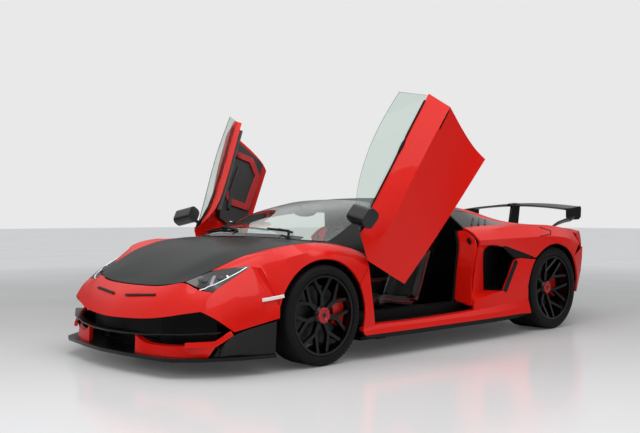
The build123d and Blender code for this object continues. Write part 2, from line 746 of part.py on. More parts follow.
def rear_bulkhead():
    half = ((-400, 0), (-400, 690), (-420, 690), (-420, 0))
    corners = list(half) + [(x, -y) for x, y in half[-2:0:-1]]
    return board(corners, FLOOR_Z + FLOOR_T, 985)


def centre_tunnel():
    top = FLOOR_Z + FLOOR_T
    return slab(((-399, top), (985, top), (985, 560), (640, 470), (0, 430), (-399, 430)),
                -125, 125)


def dashboard():
    foot = BULKHEAD_TOP + SEAT_CLEAR
    outline = ((985, 562), (985, foot), (BULKHEAD_X - 12, foot), (1180, 775), (900, 790),
               (700, 752), (690, 690), (800, 562))
    return slab(outline, -690, 690)


def seat(side):
    outline = ((470, FLOOR_TOP), (480, 300), (420, 335), (40, 270), (-120, 520),
               (-250, 860), (-330, 870), (-330, 640), (-150, FLOOR_TOP))
    low, high = sorted((side * 160, side * 620))
    return slab(outline, low, high)


def steering_wheel():
    place = Plane(origin=at(640, 390, 690), z_dir=(-0.92, 0, 0.38))
    ring = place * (Circle(180) - Circle(150))
    wheel = extrude(ring, amount=26)
    hub = extrude(place * Circle(55), amount=26)
    bars = extrude(place * Rectangle(310, 34), amount=18)
    column = extrude(place * Circle(30), amount=-110)
    return solid_of(wheel + hub + bars + column - dashboard())


def front_trunk():
    low = AXLE_FRAME_TOP + SEAT_CLEAR
    outer = body_block((1330, -385, low), (1990, 385, 560))
    inner = body_block((1342, -373, low + 12), (1978, 373, 600))
    return solid_of(outer - inner)


def hip():
    crest = line((-265, 900, 858), (-540, 915, 880), (-860, 930, 898), (-1050, 938, 902),
                 (-1290, 945, 900), (-1600, 930, 868), (-1860, 890, 820))
    side = line((-252, 985, 785), (-540, 1000, 792), (-860, 1018, 800), (-1050, 1030, 804),
                (-1290, 1035, 803), (-1600, 1020, 768), (-1850, 960, 700))
    first = (SHUT, SHUT, OPENING_SHUT, SHUT)
    return sheet([HIP_IN, crest, side, HIP_LOW], gaps=first)


def buttress():
    return sheet([COVER_EDGE, BUTTRESS_TOP], gaps=(OPENING_SHUT, SHUT, SHUT, SHUT))


def quarter_window():
    upper = [ROOF_EDGE[3 * FINE], ROOF_EDGE[4 * FINE]] + BUTTRESS_TOP[2:4 * FINE + 1]
    lower = HIP_IN[:4 * FINE + 1]
    gaps = (2.0, SHUT, OPENING_SHUT, SHUT)
    return sheet([upper, lower], gaps=gaps, depth=10.0)


def behind_scoop():
    return sheet([BEHIND_SCOOP, ARCH_FRONT_EDGE], gaps=(4 * SHUT, SHUT, 3.0, SHUT))


def under_scoop():
    gaps = (SHUT, SHUT, OPENING_SHUT, SHUT)
    return sheet([UNDER_SCOOP, ROCKER_TOP[4 * FINE:]], gaps=gaps)


def rear_quarter():
    return Compound([hip(), buttress(), behind_scoop(), under_scoop(), tail_corner(),
                     tail_cheek()])


def tail_corner():
    return sheet(list(TAIL_ROWS))


def tail_cheek():
    front_ends = [row[0] for row in TAIL_ROWS[2:]]
    return sheet([ARCH_REAR_EDGE, front_ends])


def side_scoop():
    """Recess ahead of the rear wheel, and the fin over its rear end."""
    brow = HIP_LOW[:FINE + 1] + straight(HIP_LOW[FINE], at(-690, 950, 735))
    upper = line((-258, 955, 715), (-520, 885, 712), (-760, 815, 690))
    lower = line((-208, 943, 340), (-440, 885, 378), (-690, 815, 424))
    chin = UNDER_SCOOP[:FINE + 1] + straight(UNDER_SCOOP[FINE], at(-640, 900, 392))
    rows = inset([brow, upper, lower, chin], 2 * SHUT, 2 * SHUT, OPENING_SHUT, SHUT)
    back = [[inward(p, SKIN) for p in rows[0]],
            [p + Vector(0, -SKIN, SKIN) for p in rows[1]],
            [p + Vector(0, -SKIN, -SKIN) for p in rows[2]],
            [inward(p, SKIN) for p in rows[3]]]
    top = line((-566, 988, 745), (-760, 1000, 690), (-960, 1008, 640))
    low = line((-700, 996, 634), (-800, 1002, 632), (-950, 1008, 627))
    return Compound([closed(rows, back), sheet([top, low])])


def rocker():
    return sheet([ROCKER_TOP, ROCKER_LOW], depth=ROCKER_DEPTH)


def skirt():
    return sheet([ROCKER_LOW, SKIRT_LOW], depth=16.0)


def engine_cover():
    gaps = (OPENING_SHUT, OPENING_SHUT, 12.0, OPENING_SHUT)
    skin = span([COVER_MIDDLE, COVER_EDGE], gaps=gaps, depth=20.0, across=2)
    x, z = COVER_HINGE
    for side in (1, -1):
        low, high = sorted((side * 100 - 26, side * 100 + 26))
        skin -= body_block((x - 20, low, z - 40), (x + 30, high, z + 30))
        ear = slab(((x - 24, z - 7), (x - 24, z + 2), (x, z + 5), (x, z - 7)),
                   side * 100 - 6, side * 100 + 6)
        eye = rod(at(x, side * 100 - 6, z), at(x, side * 100 + 6, z), COVER_EYE_R)
        bore = rod(at(x, side * 100 - 9, z), at(x, side * 100 + 9, z),
                   COVER_PIN_R + SEAT_CLEAR)
        skin += ear + eye - bore
    return solid_of(skin)


def cover_bracket(side):
    """Pin of the engine cover's hinge, on two ears that stand on the bulkhead."""
    x, z = COVER_HINGE
    pin = rod(at(x, side * 100 - 18, z), at(x, side * 100 + 18, z), COVER_PIN_R)
    ears = []
    for y in (side * 100 - 20, side * 100 + 12):
        ears.append(slab(((x - 7, z + 4), (x + 6, z + 4), (x + 6, 1010), (-402, 985 + SEAT_CLEAR),
                          (-420, 985 + SEAT_CLEAR), (x - 7, 1000)), y, y + 8))
    return solid_of(pin + ears)


COVER_PIN_R = 3.5
COVER_EYE_R = 6.5


TAIL_EDGE = line((-2280, 0, 850), (-2274, 350, 849), (-2257, 596, 847), (-2250, 640, 845))


def deck():
    """Rear edge of the body above the tail panel, between the tail corners."""
    front = refine([at(-2062, 0, 858), at(-2062, 350, 856), at(-2062, 600, 850),
                    TAIL_ROWS[0][0]], FINE)
    rows = []
    last = len(TAIL_ROWS[0]) - 1
    for k, edge in enumerate(TAIL_ROWS[0]):
        row = [a + (b - a) * (k / last) for a, b in zip(front, TAIL_EDGE)]
        rows.append(row[:-1] + [edge])
    front_gaps = [SHUT] + [OPENING_SHUT] * (2 * len(front) - 3) + [SHUT]
    return across_span(rows, gaps=(front_gaps, SHUT, SHUT, SHUT))


def tail_rows():
    ends = [row[-1] for row in TAIL_ROWS]
    rows = [TAIL_EDGE]
    for end, corners in zip(ends[1:], (
            ((-2288, 0, 836), (-2284, 350, 835), (-2274, 600, 833)),
            ((-2300, 0, 775), (-2296, 350, 775), (-2287, 610, 773)),
            ((-2310, 0, 630), (-2305, 350, 630), (-2293, 620, 625)),
            ((-2280, 0, 452), (-2272, 350, 452), (-2259, 620, 451)))):
        rows.append(refine([at(*corner) for corner in corners] + [end], FINE))
    return rows


def tail_panel():
    return across_span(tail_rows())


def tail_apron():
    """Carbon panel between the tail panel and the diffuser's rear edge."""
    ends = [row[-1] for row in TAIL_ROWS]
    upper = refine([at(-2280, 0, 452), at(-2272, 350, 452), at(-2259, 620, 451), ends[4]],
                   FINE)
    lower = refine([at(-2335, 0, 308), at(-2330, 350, 308), at(-2300, 540, 308), ends[5]],
                   FINE)
    return across_span([upper, lower])


def taillight():
    """Lamp bar that stands on the tail panel, just above its middle."""
    upper, lower = tail_rows()[2:4]
    seat = []
    for share in (0.12, 0.6):
        seat.append([a + (b - a) * share for a, b in zip(upper[2:6], lower[2:6])])
    outer = [[inward(p, -LAMP_PROUD) for p in row] for row in seat]
    inner = [[inward(p, -4 * SEAT_CLEAR) for p in row] for row in seat]
    return closed(outer, inner)


LAMP_PROUD = 16.0
DIFFUSER_HALF = 560.0


def diffuser():
    base = slab(((-1775, 130), (-1775, 150), (-2180, 300), (-2440, 330), (-2440, 308),
                 (-2190, 280)), -DIFFUSER_HALF, DIFFUSER_HALF)
    fins = []
    for y in (-500, -300, -100, 100, 300, 500):
        fin = slab(((-1900, 190), (-2471.5, 320), (-2471.5, 165), (-1950, 140)), y - 6, y + 6)
        fins.append(fin)
    return solid_of(base + fins + tail_apron())


def exhaust_tips():
    tips = []
    for y in (-95, 95):
        outer = rod(at(-2290, y, 560), at(-2400, y, 560), 62)
        inner = rod(at(-2316, y, 560), at(-2401, y, 560), 54)
        tips.append(outer - inner - tail_panel())
    return Compound(tips)


def rear_wing():
    wing = slab(((-2190, 1050), (-2240, 1078), (-2420, 1092), (-2425, 1084), (-2230, 1056)),
                -WING_HALF, WING_HALF)
    parts = [wing]
    for side in (1, -1):
        plate = slab(((-2180, 1060), (-2200, 1095), (-2440, 1100), (-2430, 960), (-2340, 940)),
                     side * WING_HALF, side * (WING_HALF + 12))
        pylon = slab(((-2080, 845), (-2170, 845), (-2330, 1080), (-2250, 1070)),
                     side * 500, side * 520)
        parts += [plate, pylon]
    return solid_of(parts[0] + parts[1:] - deck())


WING_HALF = 612.0


def engine():
    back = REAR_AXLE_X + REAR_FRAME_HALF + 13
    low, high = at(0, -300, 0), at(-450, 300, 690)
    return block((back, low.Y, FLOOR_TOP), high)


def rear_axle():
    half = REAR_FRAME_HALF
    frame = block((REAR_AXLE_X - half, -380, FLOOR_TOP),
                  (REAR_AXLE_X + half, 380, AXLE_FRAME_TOP))
    parts = [frame]
    for side in (1, -1):
        for level in (REAR_LEVEL_LOW, REAR_LEVEL_HIGH):
            parts.append(rear_arm(side, level))
        parts.append(block((REAR_AXLE_X - 50, side * 340 - 25, AXLE_FRAME_TOP - 10),
                           (REAR_AXLE_X + 50, side * 340 + 25, REAR_LEVEL_HIGH + 26)))
    return solid_of(parts[0] + parts[1:])


REAR_FRAME_HALF = 200.0
REAR_LEVEL_LOW = 210.0
REAR_LEVEL_HIGH = 460.0


def rear_arm(side, level):
    tip = TRACK_REAR / 2 + carrier_back(TYRE_W_REAR, FACE_REAR) - POST_T - SEAT_CLEAR
    points = ((REAR_AXLE_X - 180, 330), (REAR_AXLE_X - 26, 620), (REAR_AXLE_X - 26, tip),
              (REAR_AXLE_X + 26, tip), (REAR_AXLE_X + 26, 620), (REAR_AXLE_X + 180, 330))
    corners = [Vector(x, side * y, level) for x, y in points]
    return extrude(Face(Wire.make_polygon(corners, close=True)), amount=26, dir=(0, 0, 1))


def liner(axle_x, hub_z, radius, low, high):
    place = Pos(axle_x, low, hub_z) * Rot(-90, 0, 0)
    ring = Circle(radius + 12) - Circle(radius + 4)
    tube = extrude(Plane(origin=(axle_x, low, hub_z), z_dir=(0, 1, 0)) * ring,
                   amount=high - low)
    keep = block((axle_x - radius - 50, low - 1, hub_z + 40),
                 (axle_x + radius + 50, high + 1, hub_z + radius + 50))
    return solid_of(tube & keep)


def arch_liners():
    parts = []
    for side in (1, -1):
        front = liner(FRONT_AXLE_X, HUB_FRONT, ARCH_R_FRONT, 590, 958)
        front = largest(front - front_fender() - fender_corner())
        rear = liner(REAR_AXLE_X, HUB_REAR, ARCH_R_REAR, 650, 990)
        rear = largest(rear - hip() - behind_scoop() - tail_cheek())
        parts += [front, rear] if side > 0 else [other_side(front), other_side(rear)]
    return Compound(parts)


def door_hinge():
    """Fixed pin of the left door with its bracket on the firewall."""
    axis = Vector(*DOOR_AXIS).normalized()
    centre = at(*DOOR_HINGE)
    pin = rod(centre - axis * 60, centre + axis * 32, PIN_R)
    foot = body_block((1012, 735, 640), (1075, 752, 700))
    return solid_of(pin + foot)


def door_arm():
    """Barrel round the pin, with the arm to the door's inner face (closed)."""
    axis = Vector(*DOOR_AXIS).normalized()
    centre = at(*DOOR_HINGE)
    barrel = rod(centre - axis * 5, centre + axis * 30, BARREL_R)
    bore = rod(centre - axis * 70, centre + axis * 42, PIN_R + SEAT_CLEAR)
    end = at(855, 960, 530)
    arm = rod(centre + axis * 16 + (end - centre) * 0.06, end, 13)
    return solid_of(barrel + arm - bore)


# ---- writing -----------------------------------------------------------
def build_all():
    save(bonnet(), "bonnet")
    save(nose(), "nose")
    fender = front_fender()
    save(Compound([both(fender), both(fender_tail())]), "front_fenders")
    save(both(fender_corner()), "fender_corners")
    save(both(headlamp()), "headlights")
    save(windscreen(), "windscreen")
    save(both(a_pillar()), "a_pillars")
    save(roof(), "roof")
    for side, name in ((1, "left"), (-1, "right")):
        for make, stem in ((closed_door, "door_"), (closed_door_trim, "door_trim_"),
                           (closed_door_glass, "door_glass_"), (closed_mirror, "mirror_")):
            piece = opened(make())
            save(piece if side > 0 else other_side(piece), stem + name)
    for side, name in ((1, "l"), (-1, "r")):
        front_tyre = tyre(TYRE_R_FRONT, TYRE_W_FRONT, RIM_R_FRONT)
        rear_tyre = tyre(TYRE_R_REAR, TYRE_W_REAR, RIM_R_REAR)
        save(placed(front_tyre, side, front_wheel_place), "tyre_f" + name)
        save(placed(rear_tyre, side, rear_wheel_place), "tyre_r" + name)
        rim = wheel_rim(RIM_R_FRONT, TYRE_W_FRONT, FACE_FRONT, DISC_R_FRONT)
        save(placed(rim, side, front_wheel_place), "rim_f" + name)
        rim = wheel_rim(RIM_R_REAR, TYRE_W_REAR, FACE_REAR, DISC_R_REAR)
        save(placed(rim, side, rear_wheel_place), "rim_r" + name)
        knuckle = carrier(TYRE_W_FRONT, FACE_FRONT, DISC_R_FRONT, RIM_R_FRONT,
                          BALL_HEIGHT - SEAT_CLEAR)
        save(placed(knuckle, side, front_wheel_place), "knuckle_f" + name)
    save(front_axle(), "front_axle")
    save(both(bumper_blade()), "bumper_blades")
    save(intake_back(), "intake_walls")
    save(splitter(), "front_splitter")
    save(floor_pan(), "floor_pan")
    save(sills(), "sills")
    save(front_bulkhead(), "front_bulkhead")
    save(rear_bulkhead(), "rear_bulkhead")
    save(centre_tunnel(), "centre_tunnel")
    save(dashboard(), "dashboard")
    save(seat(1), "seat_left")
    save(seat(-1), "seat_right")
    save(steering_wheel(), "steering_wheel")
    save(front_trunk(), "front_trunk")
    save(both(rear_quarter()), "rear_quarters")
    save(both(quarter_window()), "quarter_windows")
    save(both(side_scoop()), "side_scoops")
    save(both(rocker()), "rocker_panels")
    save(both(skirt()), "side_skirts")
    save(engine_cover(), "engine_cover")
    save(tail_panel(), "tail_panel")
    save(both(taillight()), "taillights")
    save(deck(), "rear_deck")
    save(diffuser(), "diffuser")
    save(exhaust_tips(), "exhaust_tips")
    save(rear_wing(), "rear_wing")
    save(engine(), "engine")
    save(rear_axle(), "rear_axle")
    save(arch_liners(), "wheel_arch_liners")
    save(both(door_hinge()), "door_hinges")
    save(Compound([both(bonnet_bracket()), cover_bracket(1), cover_bracket(-1)]), "lid_hinges")
    save(cowl(), "cowl")
    rear_carrier = carrier(TYRE_W_REAR, FACE_REAR, DISC_R_REAR, RIM_R_REAR, 150.0)
    save(Compound([placed(rear_carrier, side, rear_wheel_place) for side in (1, -1)]),
         "rear_knuckles")


build_all()
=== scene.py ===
import json
import math

import bmesh
import bpy
from mathutils import Matrix, Vector
from mathutils.bvhtree import BVHTree

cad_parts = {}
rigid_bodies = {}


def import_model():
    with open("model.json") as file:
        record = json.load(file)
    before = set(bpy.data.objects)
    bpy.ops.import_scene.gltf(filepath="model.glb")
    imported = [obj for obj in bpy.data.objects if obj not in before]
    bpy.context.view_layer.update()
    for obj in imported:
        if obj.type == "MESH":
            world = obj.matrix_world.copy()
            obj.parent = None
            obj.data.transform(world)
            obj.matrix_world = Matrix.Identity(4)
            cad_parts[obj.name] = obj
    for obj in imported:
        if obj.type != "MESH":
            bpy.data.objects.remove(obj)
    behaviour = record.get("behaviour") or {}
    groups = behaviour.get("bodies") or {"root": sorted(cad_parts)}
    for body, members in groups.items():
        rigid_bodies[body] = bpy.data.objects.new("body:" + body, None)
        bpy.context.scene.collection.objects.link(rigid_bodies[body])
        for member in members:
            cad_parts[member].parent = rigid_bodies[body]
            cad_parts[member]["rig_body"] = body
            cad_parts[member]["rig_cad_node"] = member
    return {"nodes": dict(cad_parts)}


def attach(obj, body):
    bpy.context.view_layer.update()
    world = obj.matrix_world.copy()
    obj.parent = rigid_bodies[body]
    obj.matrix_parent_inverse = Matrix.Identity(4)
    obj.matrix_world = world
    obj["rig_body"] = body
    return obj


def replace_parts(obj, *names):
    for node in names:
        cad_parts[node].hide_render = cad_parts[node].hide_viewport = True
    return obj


bl_info = {
    "name": "Scissor-door supercar",
    "version": (1, 0, 0),
    "blender": (4, 5, 0),
    "location": "View3D > Sidebar > Supercar",
    "description": "Dresses the car's frame with painted, carbon and rubber pieces",
    "category": "Object",
}

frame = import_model()
NODES = frame["nodes"]
BODY_OF = {node.get("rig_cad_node"): node.get("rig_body") for node in NODES.values()}
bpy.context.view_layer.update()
DOOR_HINGE = Vector((1.058, 0.800, 0.655))
DOOR_AXIS = Vector((-0.081, 0.966, -0.248)).normalized()
DOOR_OPEN = Matrix.Rotation(math.radians(58.0), 3, DOOR_AXIS)

SIDES = ((1, "left"), (-1, "right"))
WHEELS = {  # corner: (hub x, y, z, tyre radius, tyre width, rim radius), metres
    "fl": (1.4065, 0.860, 0.3305, 0.3305, 0.255, 0.262),
    "fr": (1.4065, -0.860, 0.3305, 0.3305, 0.255, 0.262),
    "rl": (-1.2935, 0.840, 0.3555, 0.3555, 0.345, 0.275),
    "rr": (-1.2935, -0.840, 0.3555, 0.3555, 0.345, 0.275),
}


# ---- sizes and colours that a user may change --------------------------------
def colour(name, description, default):
    return bpy.props.StringProperty(name=name, description=description, default=default)


class CarColours(bpy.types.PropertyGroup):
    """sRGB hex values of the car's finishes."""
    paint: colour("Body paint", "Solid orange-red of the painted panels", "#DE1406")
    bonnet: colour("Bonnet carbon", "Satin carbon of the bonnet", "#161817")
    carbon: colour("Carbon", "Gloss carbon of the roof, wing and blades", "#0D0E0F")
    rim: colour("Rims", "Gloss black of the forged rims", "#050506")
    rubber: colour("Rubber", "Tyre rubber", "#0C0C0D")
    accent: colour("Accent red", "Red of calipers, centre nuts and piping", "#A80E14")
    glass: colour("Glass tint", "Pale green of the laminated glass", "#DDE9E2")
    floor: colour("Floor", "Pale studio floor", "#F0F1F2")


class CarSizes(bpy.types.PropertyGroup):
    """Sizes of the pieces that dress the frame."""
    smooth_levels: bpy.props.IntProperty(
        name="Panel smoothing", description="Subdivision levels of the body panels",
        default=2, min=0, max=3)
    tread_depth: bpy.props.FloatProperty(
        name="Tread depth", description="Depth of the tyre grooves",
        default=0.006, min=0.001, max=0.01, unit="LENGTH")
    tread_pitch: bpy.props.IntProperty(
        name="Tread blocks", description="Shoulder blocks round each tyre",
        default=72, min=24, max=120)
    nut_radius: bpy.props.FloatProperty(
        name="Centre nut", description="Radius of the wheel's centre-lock nut",
        default=0.051, min=0.02, max=0.06, unit="LENGTH")
    camera_lens: bpy.props.FloatProperty(
        name="Camera lens", description="Focal length on a 36 mm sensor, in millimetres",
        default=46.91, min=20.0, max=120.0)


# ---- materials ---------------------------------------------------------------
def linear(code):
    """sRGB hex to linear RGBA."""
    values = [int(code[k:k + 2], 16) / 255 for k in (1, 3, 5)]
    return [v / 12.92 if v <= 0.04045 else ((v + 0.055) / 1.055) ** 2.4
            for v in values] + [1.0]


def add_node(tree, kind, inputs=None, **settings):
    """One node with its settings; an input takes a value or another node's output."""
    made = tree.nodes.new(kind)
    for key, value in settings.items():
        setattr(made, key, value)
    for socket, value in (inputs or {}).items():
        if isinstance(value, bpy.types.NodeSocket):
            tree.links.new(value, made.inputs[socket])
        else:
            made.inputs[socket].default_value = value
    return made


def new_material(name):
    material = bpy.data.materials.new(name)
    material.use_nodes = True
    material.node_tree.nodes.clear()
    return material, material.node_tree


def finished(material, inputs, height=None, depth=0.0005, strength=0.3):
    """The material with its Principled shader, and a bump if a height is given."""
    tree = material.node_tree
    if height is not None:
        bump = add_node(tree, "ShaderNodeBump",
                        {"Height": height, "Distance": depth, "Strength": strength})
        inputs["Normal"] = bump.outputs[0]
    shader = add_node(tree, "ShaderNodeBsdfPrincipled", inputs)
    add_node(tree, "ShaderNodeOutputMaterial", {"Surface": shader.outputs[0]})
    return material


def object_place(tree):
    return add_node(tree, "ShaderNodeTexCoord").outputs["Object"]


def object_noise(tree, scale, detail):
    return add_node(tree, "ShaderNodeTexNoise",
                    {"Vector": object_place(tree), "Scale": scale, "Detail": detail,
                     "Roughness": 0.5}).outputs["Fac"]


def blend_colours(tree, share, low, high):
    mix = add_node(tree, "ShaderNodeMix", {"Factor": share, "A": low, "B": high},
                   data_type="RGBA")
    return mix.outputs["Result"]


def map_range(tree, value, low, high, start=0.0, end=1.0, **settings):
    """The value's place between start and end, as a share between low and high."""
    return add_node(tree, "ShaderNodeMapRange",
                    {"Value": value, "From Min": start, "From Max": end,
                     "To Min": low, "To Max": high}, **settings).outputs[0]


def combine(tree, operation, first, second):
    return add_node(tree, "ShaderNodeMath", {0: first, 1: second},
                    operation=operation).outputs[0]


def shade(code, factor):
    return [c * factor for c in linear(code)[:3]] + [1.0]


def mottled(tree, share, code, low, high):
    """Colour that drifts between two shades of the hex colour."""
    return blend_colours(tree, share, shade(code, low), shade(code, high))


def car_paint(name, code):
    """Sprayed two-stage enamel: even colour under a glossy clear coat.

    The clear coat shows a slight orange peel about 4 mm across."""
    material, tree = new_material(name)
    colours = mottled(tree, object_noise(tree, 3.0, 2.0), code, 0.95, 1.05)
    peel = object_noise(tree, 260.0, 1.0)
    return finished(material, {"Base Color": colours, "Roughness": 0.42,
                               "Specular IOR Level": 0.1, "Coat Weight": 0.32,
                               "Coat Roughness": 0.04}, peel, 0.0002, 0.08)


def carbon_weave(name, code, roughness, coat, specular):
    """Twill of 2 mm carbon tows, drawn 6 mm coarse so that it shows."""
    material, tree = new_material(name)
    place = object_place(tree)
    tows = add_node(tree, "ShaderNodeTexChecker",
                    {"Vector": place, "Scale": 166.0,
                     "Color1": shade(code, 0.72), "Color2": shade(code, 1.35)})
    bands = add_node(tree, "ShaderNodeTexWave",
                     {"Vector": place, "Scale": 26.0, "Distortion": 0.0},
                     bands_direction="DIAGONAL")
    share = combine(tree, "MULTIPLY", bands.outputs["Fac"], 0.35)
    colours = blend_colours(tree, share, tows.outputs["Color"], linear(code))
    return finished(material, {"Base Color": colours, "Roughness": roughness,
                               "Coat Weight": coat, "Coat Roughness": 0.05,
                               "Specular IOR Level": specular},
                    tows.outputs["Fac"], 0.0001, 0.15)


def rubber(name, code):
    """Vulcanised tyre rubber: dull black with a fine moulding grain of 1 mm."""
    material, tree = new_material(name)
    colours = mottled(tree, object_noise(tree, 14.0, 3.0), code, 0.7, 1.3)
    grain = object_noise(tree, 900.0, 2.0)
    return finished(material, {"Base Color": colours, "Roughness": 0.72,
                               "Specular IOR Level": 0.2}, grain, 0.0003, 0.4)


def metal(name, code, roughness, grain_scale):
    """Machined metal: fine turning marks in the roughness and surface."""
    material, tree = new_material(name)
    marks = object_noise(tree, grain_scale, 4.0)
    dull = map_range(tree, marks, roughness * 0.75, roughness * 1.3)
    return finished(material, {"Base Color": linear(code), "Metallic": 1.0,
                               "Roughness": dull}, marks, 0.0002, 0.15)


def moulded(name, code, roughness, coat=0.0, specular=0.5):
    """Moulded or powder-coated surface with a light grain of about 2 mm."""
    material, tree = new_material(name)
    speck = object_noise(tree, 500.0, 2.0)
    colours = mottled(tree, speck, code, 0.85, 1.15)
    return finished(material, {"Base Color": colours, "Roughness": roughness,
                               "Specular IOR Level": specular, "Coat Weight": coat,
                               "Coat Roughness": 0.05}, speck, 0.0003, 0.2)


def leather(name, code):
    """Dyed leather: pebbled grain of about 3 mm with a soft sheen."""
    material, tree = new_material(name)
    pebble = add_node(tree, "ShaderNodeTexVoronoi",
                      {"Vector": object_place(tree), "Scale": 320.0})
    colours = mottled(tree, object_noise(tree, 20.0, 3.0), code, 0.8, 1.25)
    return finished(material, {"Base Color": colours, "Roughness": 0.55,
                               "Sheen Weight": 0.15, "Sheen Roughness": 0.4},
                    pebble.outputs["Distance"], 0.0006, 0.35)


def clear_glass(name, code):
    """Float glass with a pale green body tint and faint rolling waviness."""
    material, tree = new_material(name)
    wave = object_noise(tree, 1.5, 1.0)
    return finished(material, {"Base Color": linear(code), "Roughness": 0.0, "IOR": 1.45,
                               "Transmission Weight": 1.0}, wave, 0.0004, 0.02)


def glowing(name, code, strength):
    """Lit lamp strip behind its lens."""
    material, tree = new_material(name)
    colours = mottled(tree, object_noise(tree, 120.0, 1.0), code, 0.9, 1.0)
    return finished(material, {"Base Color": colours, "Roughness": 0.3,
                               "Emission Color": linear(code),
                               "Emission Strength": strength})


M = {}


def make_materials():
    c = bpy.context.scene.car_colours
    M["body_paint"] = car_paint("clear_coated_enamel", c.paint)
    M["bonnet"] = carbon_weave("satin_carbon", c.bonnet, 0.42, 0.08, 0.15)
    M["carbon"] = carbon_weave("gloss_carbon", c.carbon, 0.3, 0.22, 0.15)
    M["black_trim"] = moulded("moulded_black_abs", "#080809", 0.5, 0.0, 0.15)
    M["black_gloss"] = moulded("gloss_black_enamel", "#060707", 0.25, 0.3, 0.35)
    M["glass"] = clear_glass("tinted_float_glass", c.glass)
    M["dark_glass"] = moulded("smoked_glass", "#030404", 0.12, 0.3)
    M["tyre"] = rubber("vulcanised_rubber", c.rubber)
    M["rim_black"] = moulded("gloss_black_forged_alloy", c.rim, 0.28, 0.15, 0.3)
    M["steel"] = metal("turned_steel", "#8D9094", 0.32, 260.0)
    M["aluminium"] = metal("cast_aluminium", "#9DA0A3", 0.5, 400.0)
    M["iron"] = metal("cast_iron", "#48494A", 0.5, 300.0)
    M["leather_black"] = leather("black_leather", "#161617")
    M["leather_red"] = leather("red_leather", c.accent)
    M["red_anodised"] = moulded("red_anodised_alloy", c.accent, 0.35, 0.3, 0.4)
    M["caliper"] = moulded("red_caliper_enamel", "#C4180C", 0.3, 0.4, 0.3)
    M["red_lamp"] = moulded("red_lamp_lens", "#5A0508", 0.12, 1.0)
    M["lamp_strip"] = glowing("lamp_light_guide", "#F4F6FA", 0.35)
    M["chrome"] = metal("lamp_reflector_chrome", "#C9CCD0", 0.12, 50.0)
    M["marker"] = moulded("white_marker_lens", "#E9E6E2", 0.15, 1.0)


def dress(node, key):
    """A CAD node keeps its shape and gets this finish."""
    item = NODES[node]
    for holder in item.material_slots:
        holder.link = "OBJECT"
        holder.material = M[key]


# ---- making pieces -----------------------------------------------------------
def link(name, mesh, materials):
    item = bpy.data.objects.new(name, mesh)
    bpy.context.scene.collection.objects.link(item)
    if len(mesh.materials):
        mesh.materials.clear()
    for key in materials:
        mesh.materials.append(M[key])
    return item


def from_bmesh(name, bm, materials, sharp=35.0, recalc=True):
    if recalc:
        bmesh.ops.remove_doubles(bm, verts=bm.verts, dist=1e-6)
        bmesh.ops.recalc_face_normals(bm, faces=bm.faces)
    limit = math.radians(sharp)
    for face in bm.faces:
        face.smooth = True
    for edge in bm.edges:
        if len(edge.link_faces) == 2:
            edge.smooth = edge.calc_face_angle(0.0) < limit
    mesh = bpy.data.meshes.new(name)
    bm.to_mesh(mesh)
    bm.free()
    return link(name, mesh, materials)


def piece(name, bm, key, body="chassis", sharp=35.0, edge=0.0):
    """Finished piece that rides on its body, its edges rounded by a bevel if asked."""
    item = from_bmesh(name, bm, (key,), sharp)
    if edge:
        bevel = item.modifiers.new("edges", "BEVEL")
        bevel.width = edge
        bevel.segments = 2
    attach(item, body)
    return item


def subdivided(item, levels):
    modifier = item.modifiers.new("smoothing", "SUBSURF")
    modifier.levels = modifier.render_levels = levels


FREE_EDGE = 9.0           # radians: the angle given to an edge without two faces


def copied(node):
    """The node's mesh as one merged bmesh, with its grid's quads put together."""
    bm = bmesh.new()
    bm.from_mesh(NODES[node].data)
    bmesh.ops.remove_doubles(bm, verts=bm.verts, dist=2e-5)
    longest = {}
    for face in bm.faces:
        longest[face] = max(face.edges, key=lambda e: e.calc_length())
    diagonals = []
    for edge in bm.edges:
        faces = edge.link_faces
        if len(faces) == 2 and all(len(f.verts) == 3 and longest[f] is edge for f in faces):
            if edge.calc_face_angle(FREE_EDGE) < math.radians(22):
                diagonals.append(edge)
    bmesh.ops.dissolve_edges(bm, edges=diagonals, use_verts=False, use_face_split=False)
    return bm


def smooth_panel(node, key, levels=None, name=None, crease_at=36.0, rule=None, extra=(),
                 cut=None, ridge=None):
    """The node's panel with its facets smoothed between its sharp edges.

    A rule says which faces, by centre and normal, get the extra material; cut is a
    plane (point, normal) that splits faces where the material changes; ridge gives the
    height that a vertex is pressed up by."""
    if levels is None:
        levels = bpy.context.scene.car_sizes.smooth_levels
    bm = copied(node)
    if cut is not None:
        bmesh.ops.bisect_plane(bm, geom=bm.verts[:] + bm.edges[:] + bm.faces[:], dist=1e-5,
                               plane_co=cut[0], plane_no=cut[1])
    layer = bm.edges.layers.float.new("crease_edge")
    raised = [v for v in bm.verts if ridge is not None and ridge(v.co)]
    for vert in raised:
        vert.co.z += ridge(vert.co)
    for edge in bm.edges:
        if edge.calc_face_angle(FREE_EDGE) > math.radians(crease_at):
            edge[layer] = 1.0
    for edge in {e for v in raised for e in v.link_edges}:
        if all(v in raised for v in edge.verts):
            edge[layer] = max(edge[layer], 0.9)
    if rule is not None:
        for face in bm.faces:
            face.material_index = int(rule(face.calc_center_median(), face.normal))
    item = from_bmesh(name or node + "_skin", bm, (key,) + extra, crease_at, False)
    subdivided(item, levels)
    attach(item, BODY_OF[node])
    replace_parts(item, node)
    return item


def circle(centre, radius, across, other, count):
    """Points of a circle in the plane of two directions."""
    turns = [2 * math.pi * k / count for k in range(count)]
    return [centre + radius * (math.cos(turn) * across + math.sin(turn) * other)
            for turn in turns]


def facing(centre, normal, radius, count):
    """Points of a circle that faces along the normal."""
    across = normal.cross(Vector((1, 0, 0))).normalized()
    return circle(centre, radius, across, normal.cross(across), count)


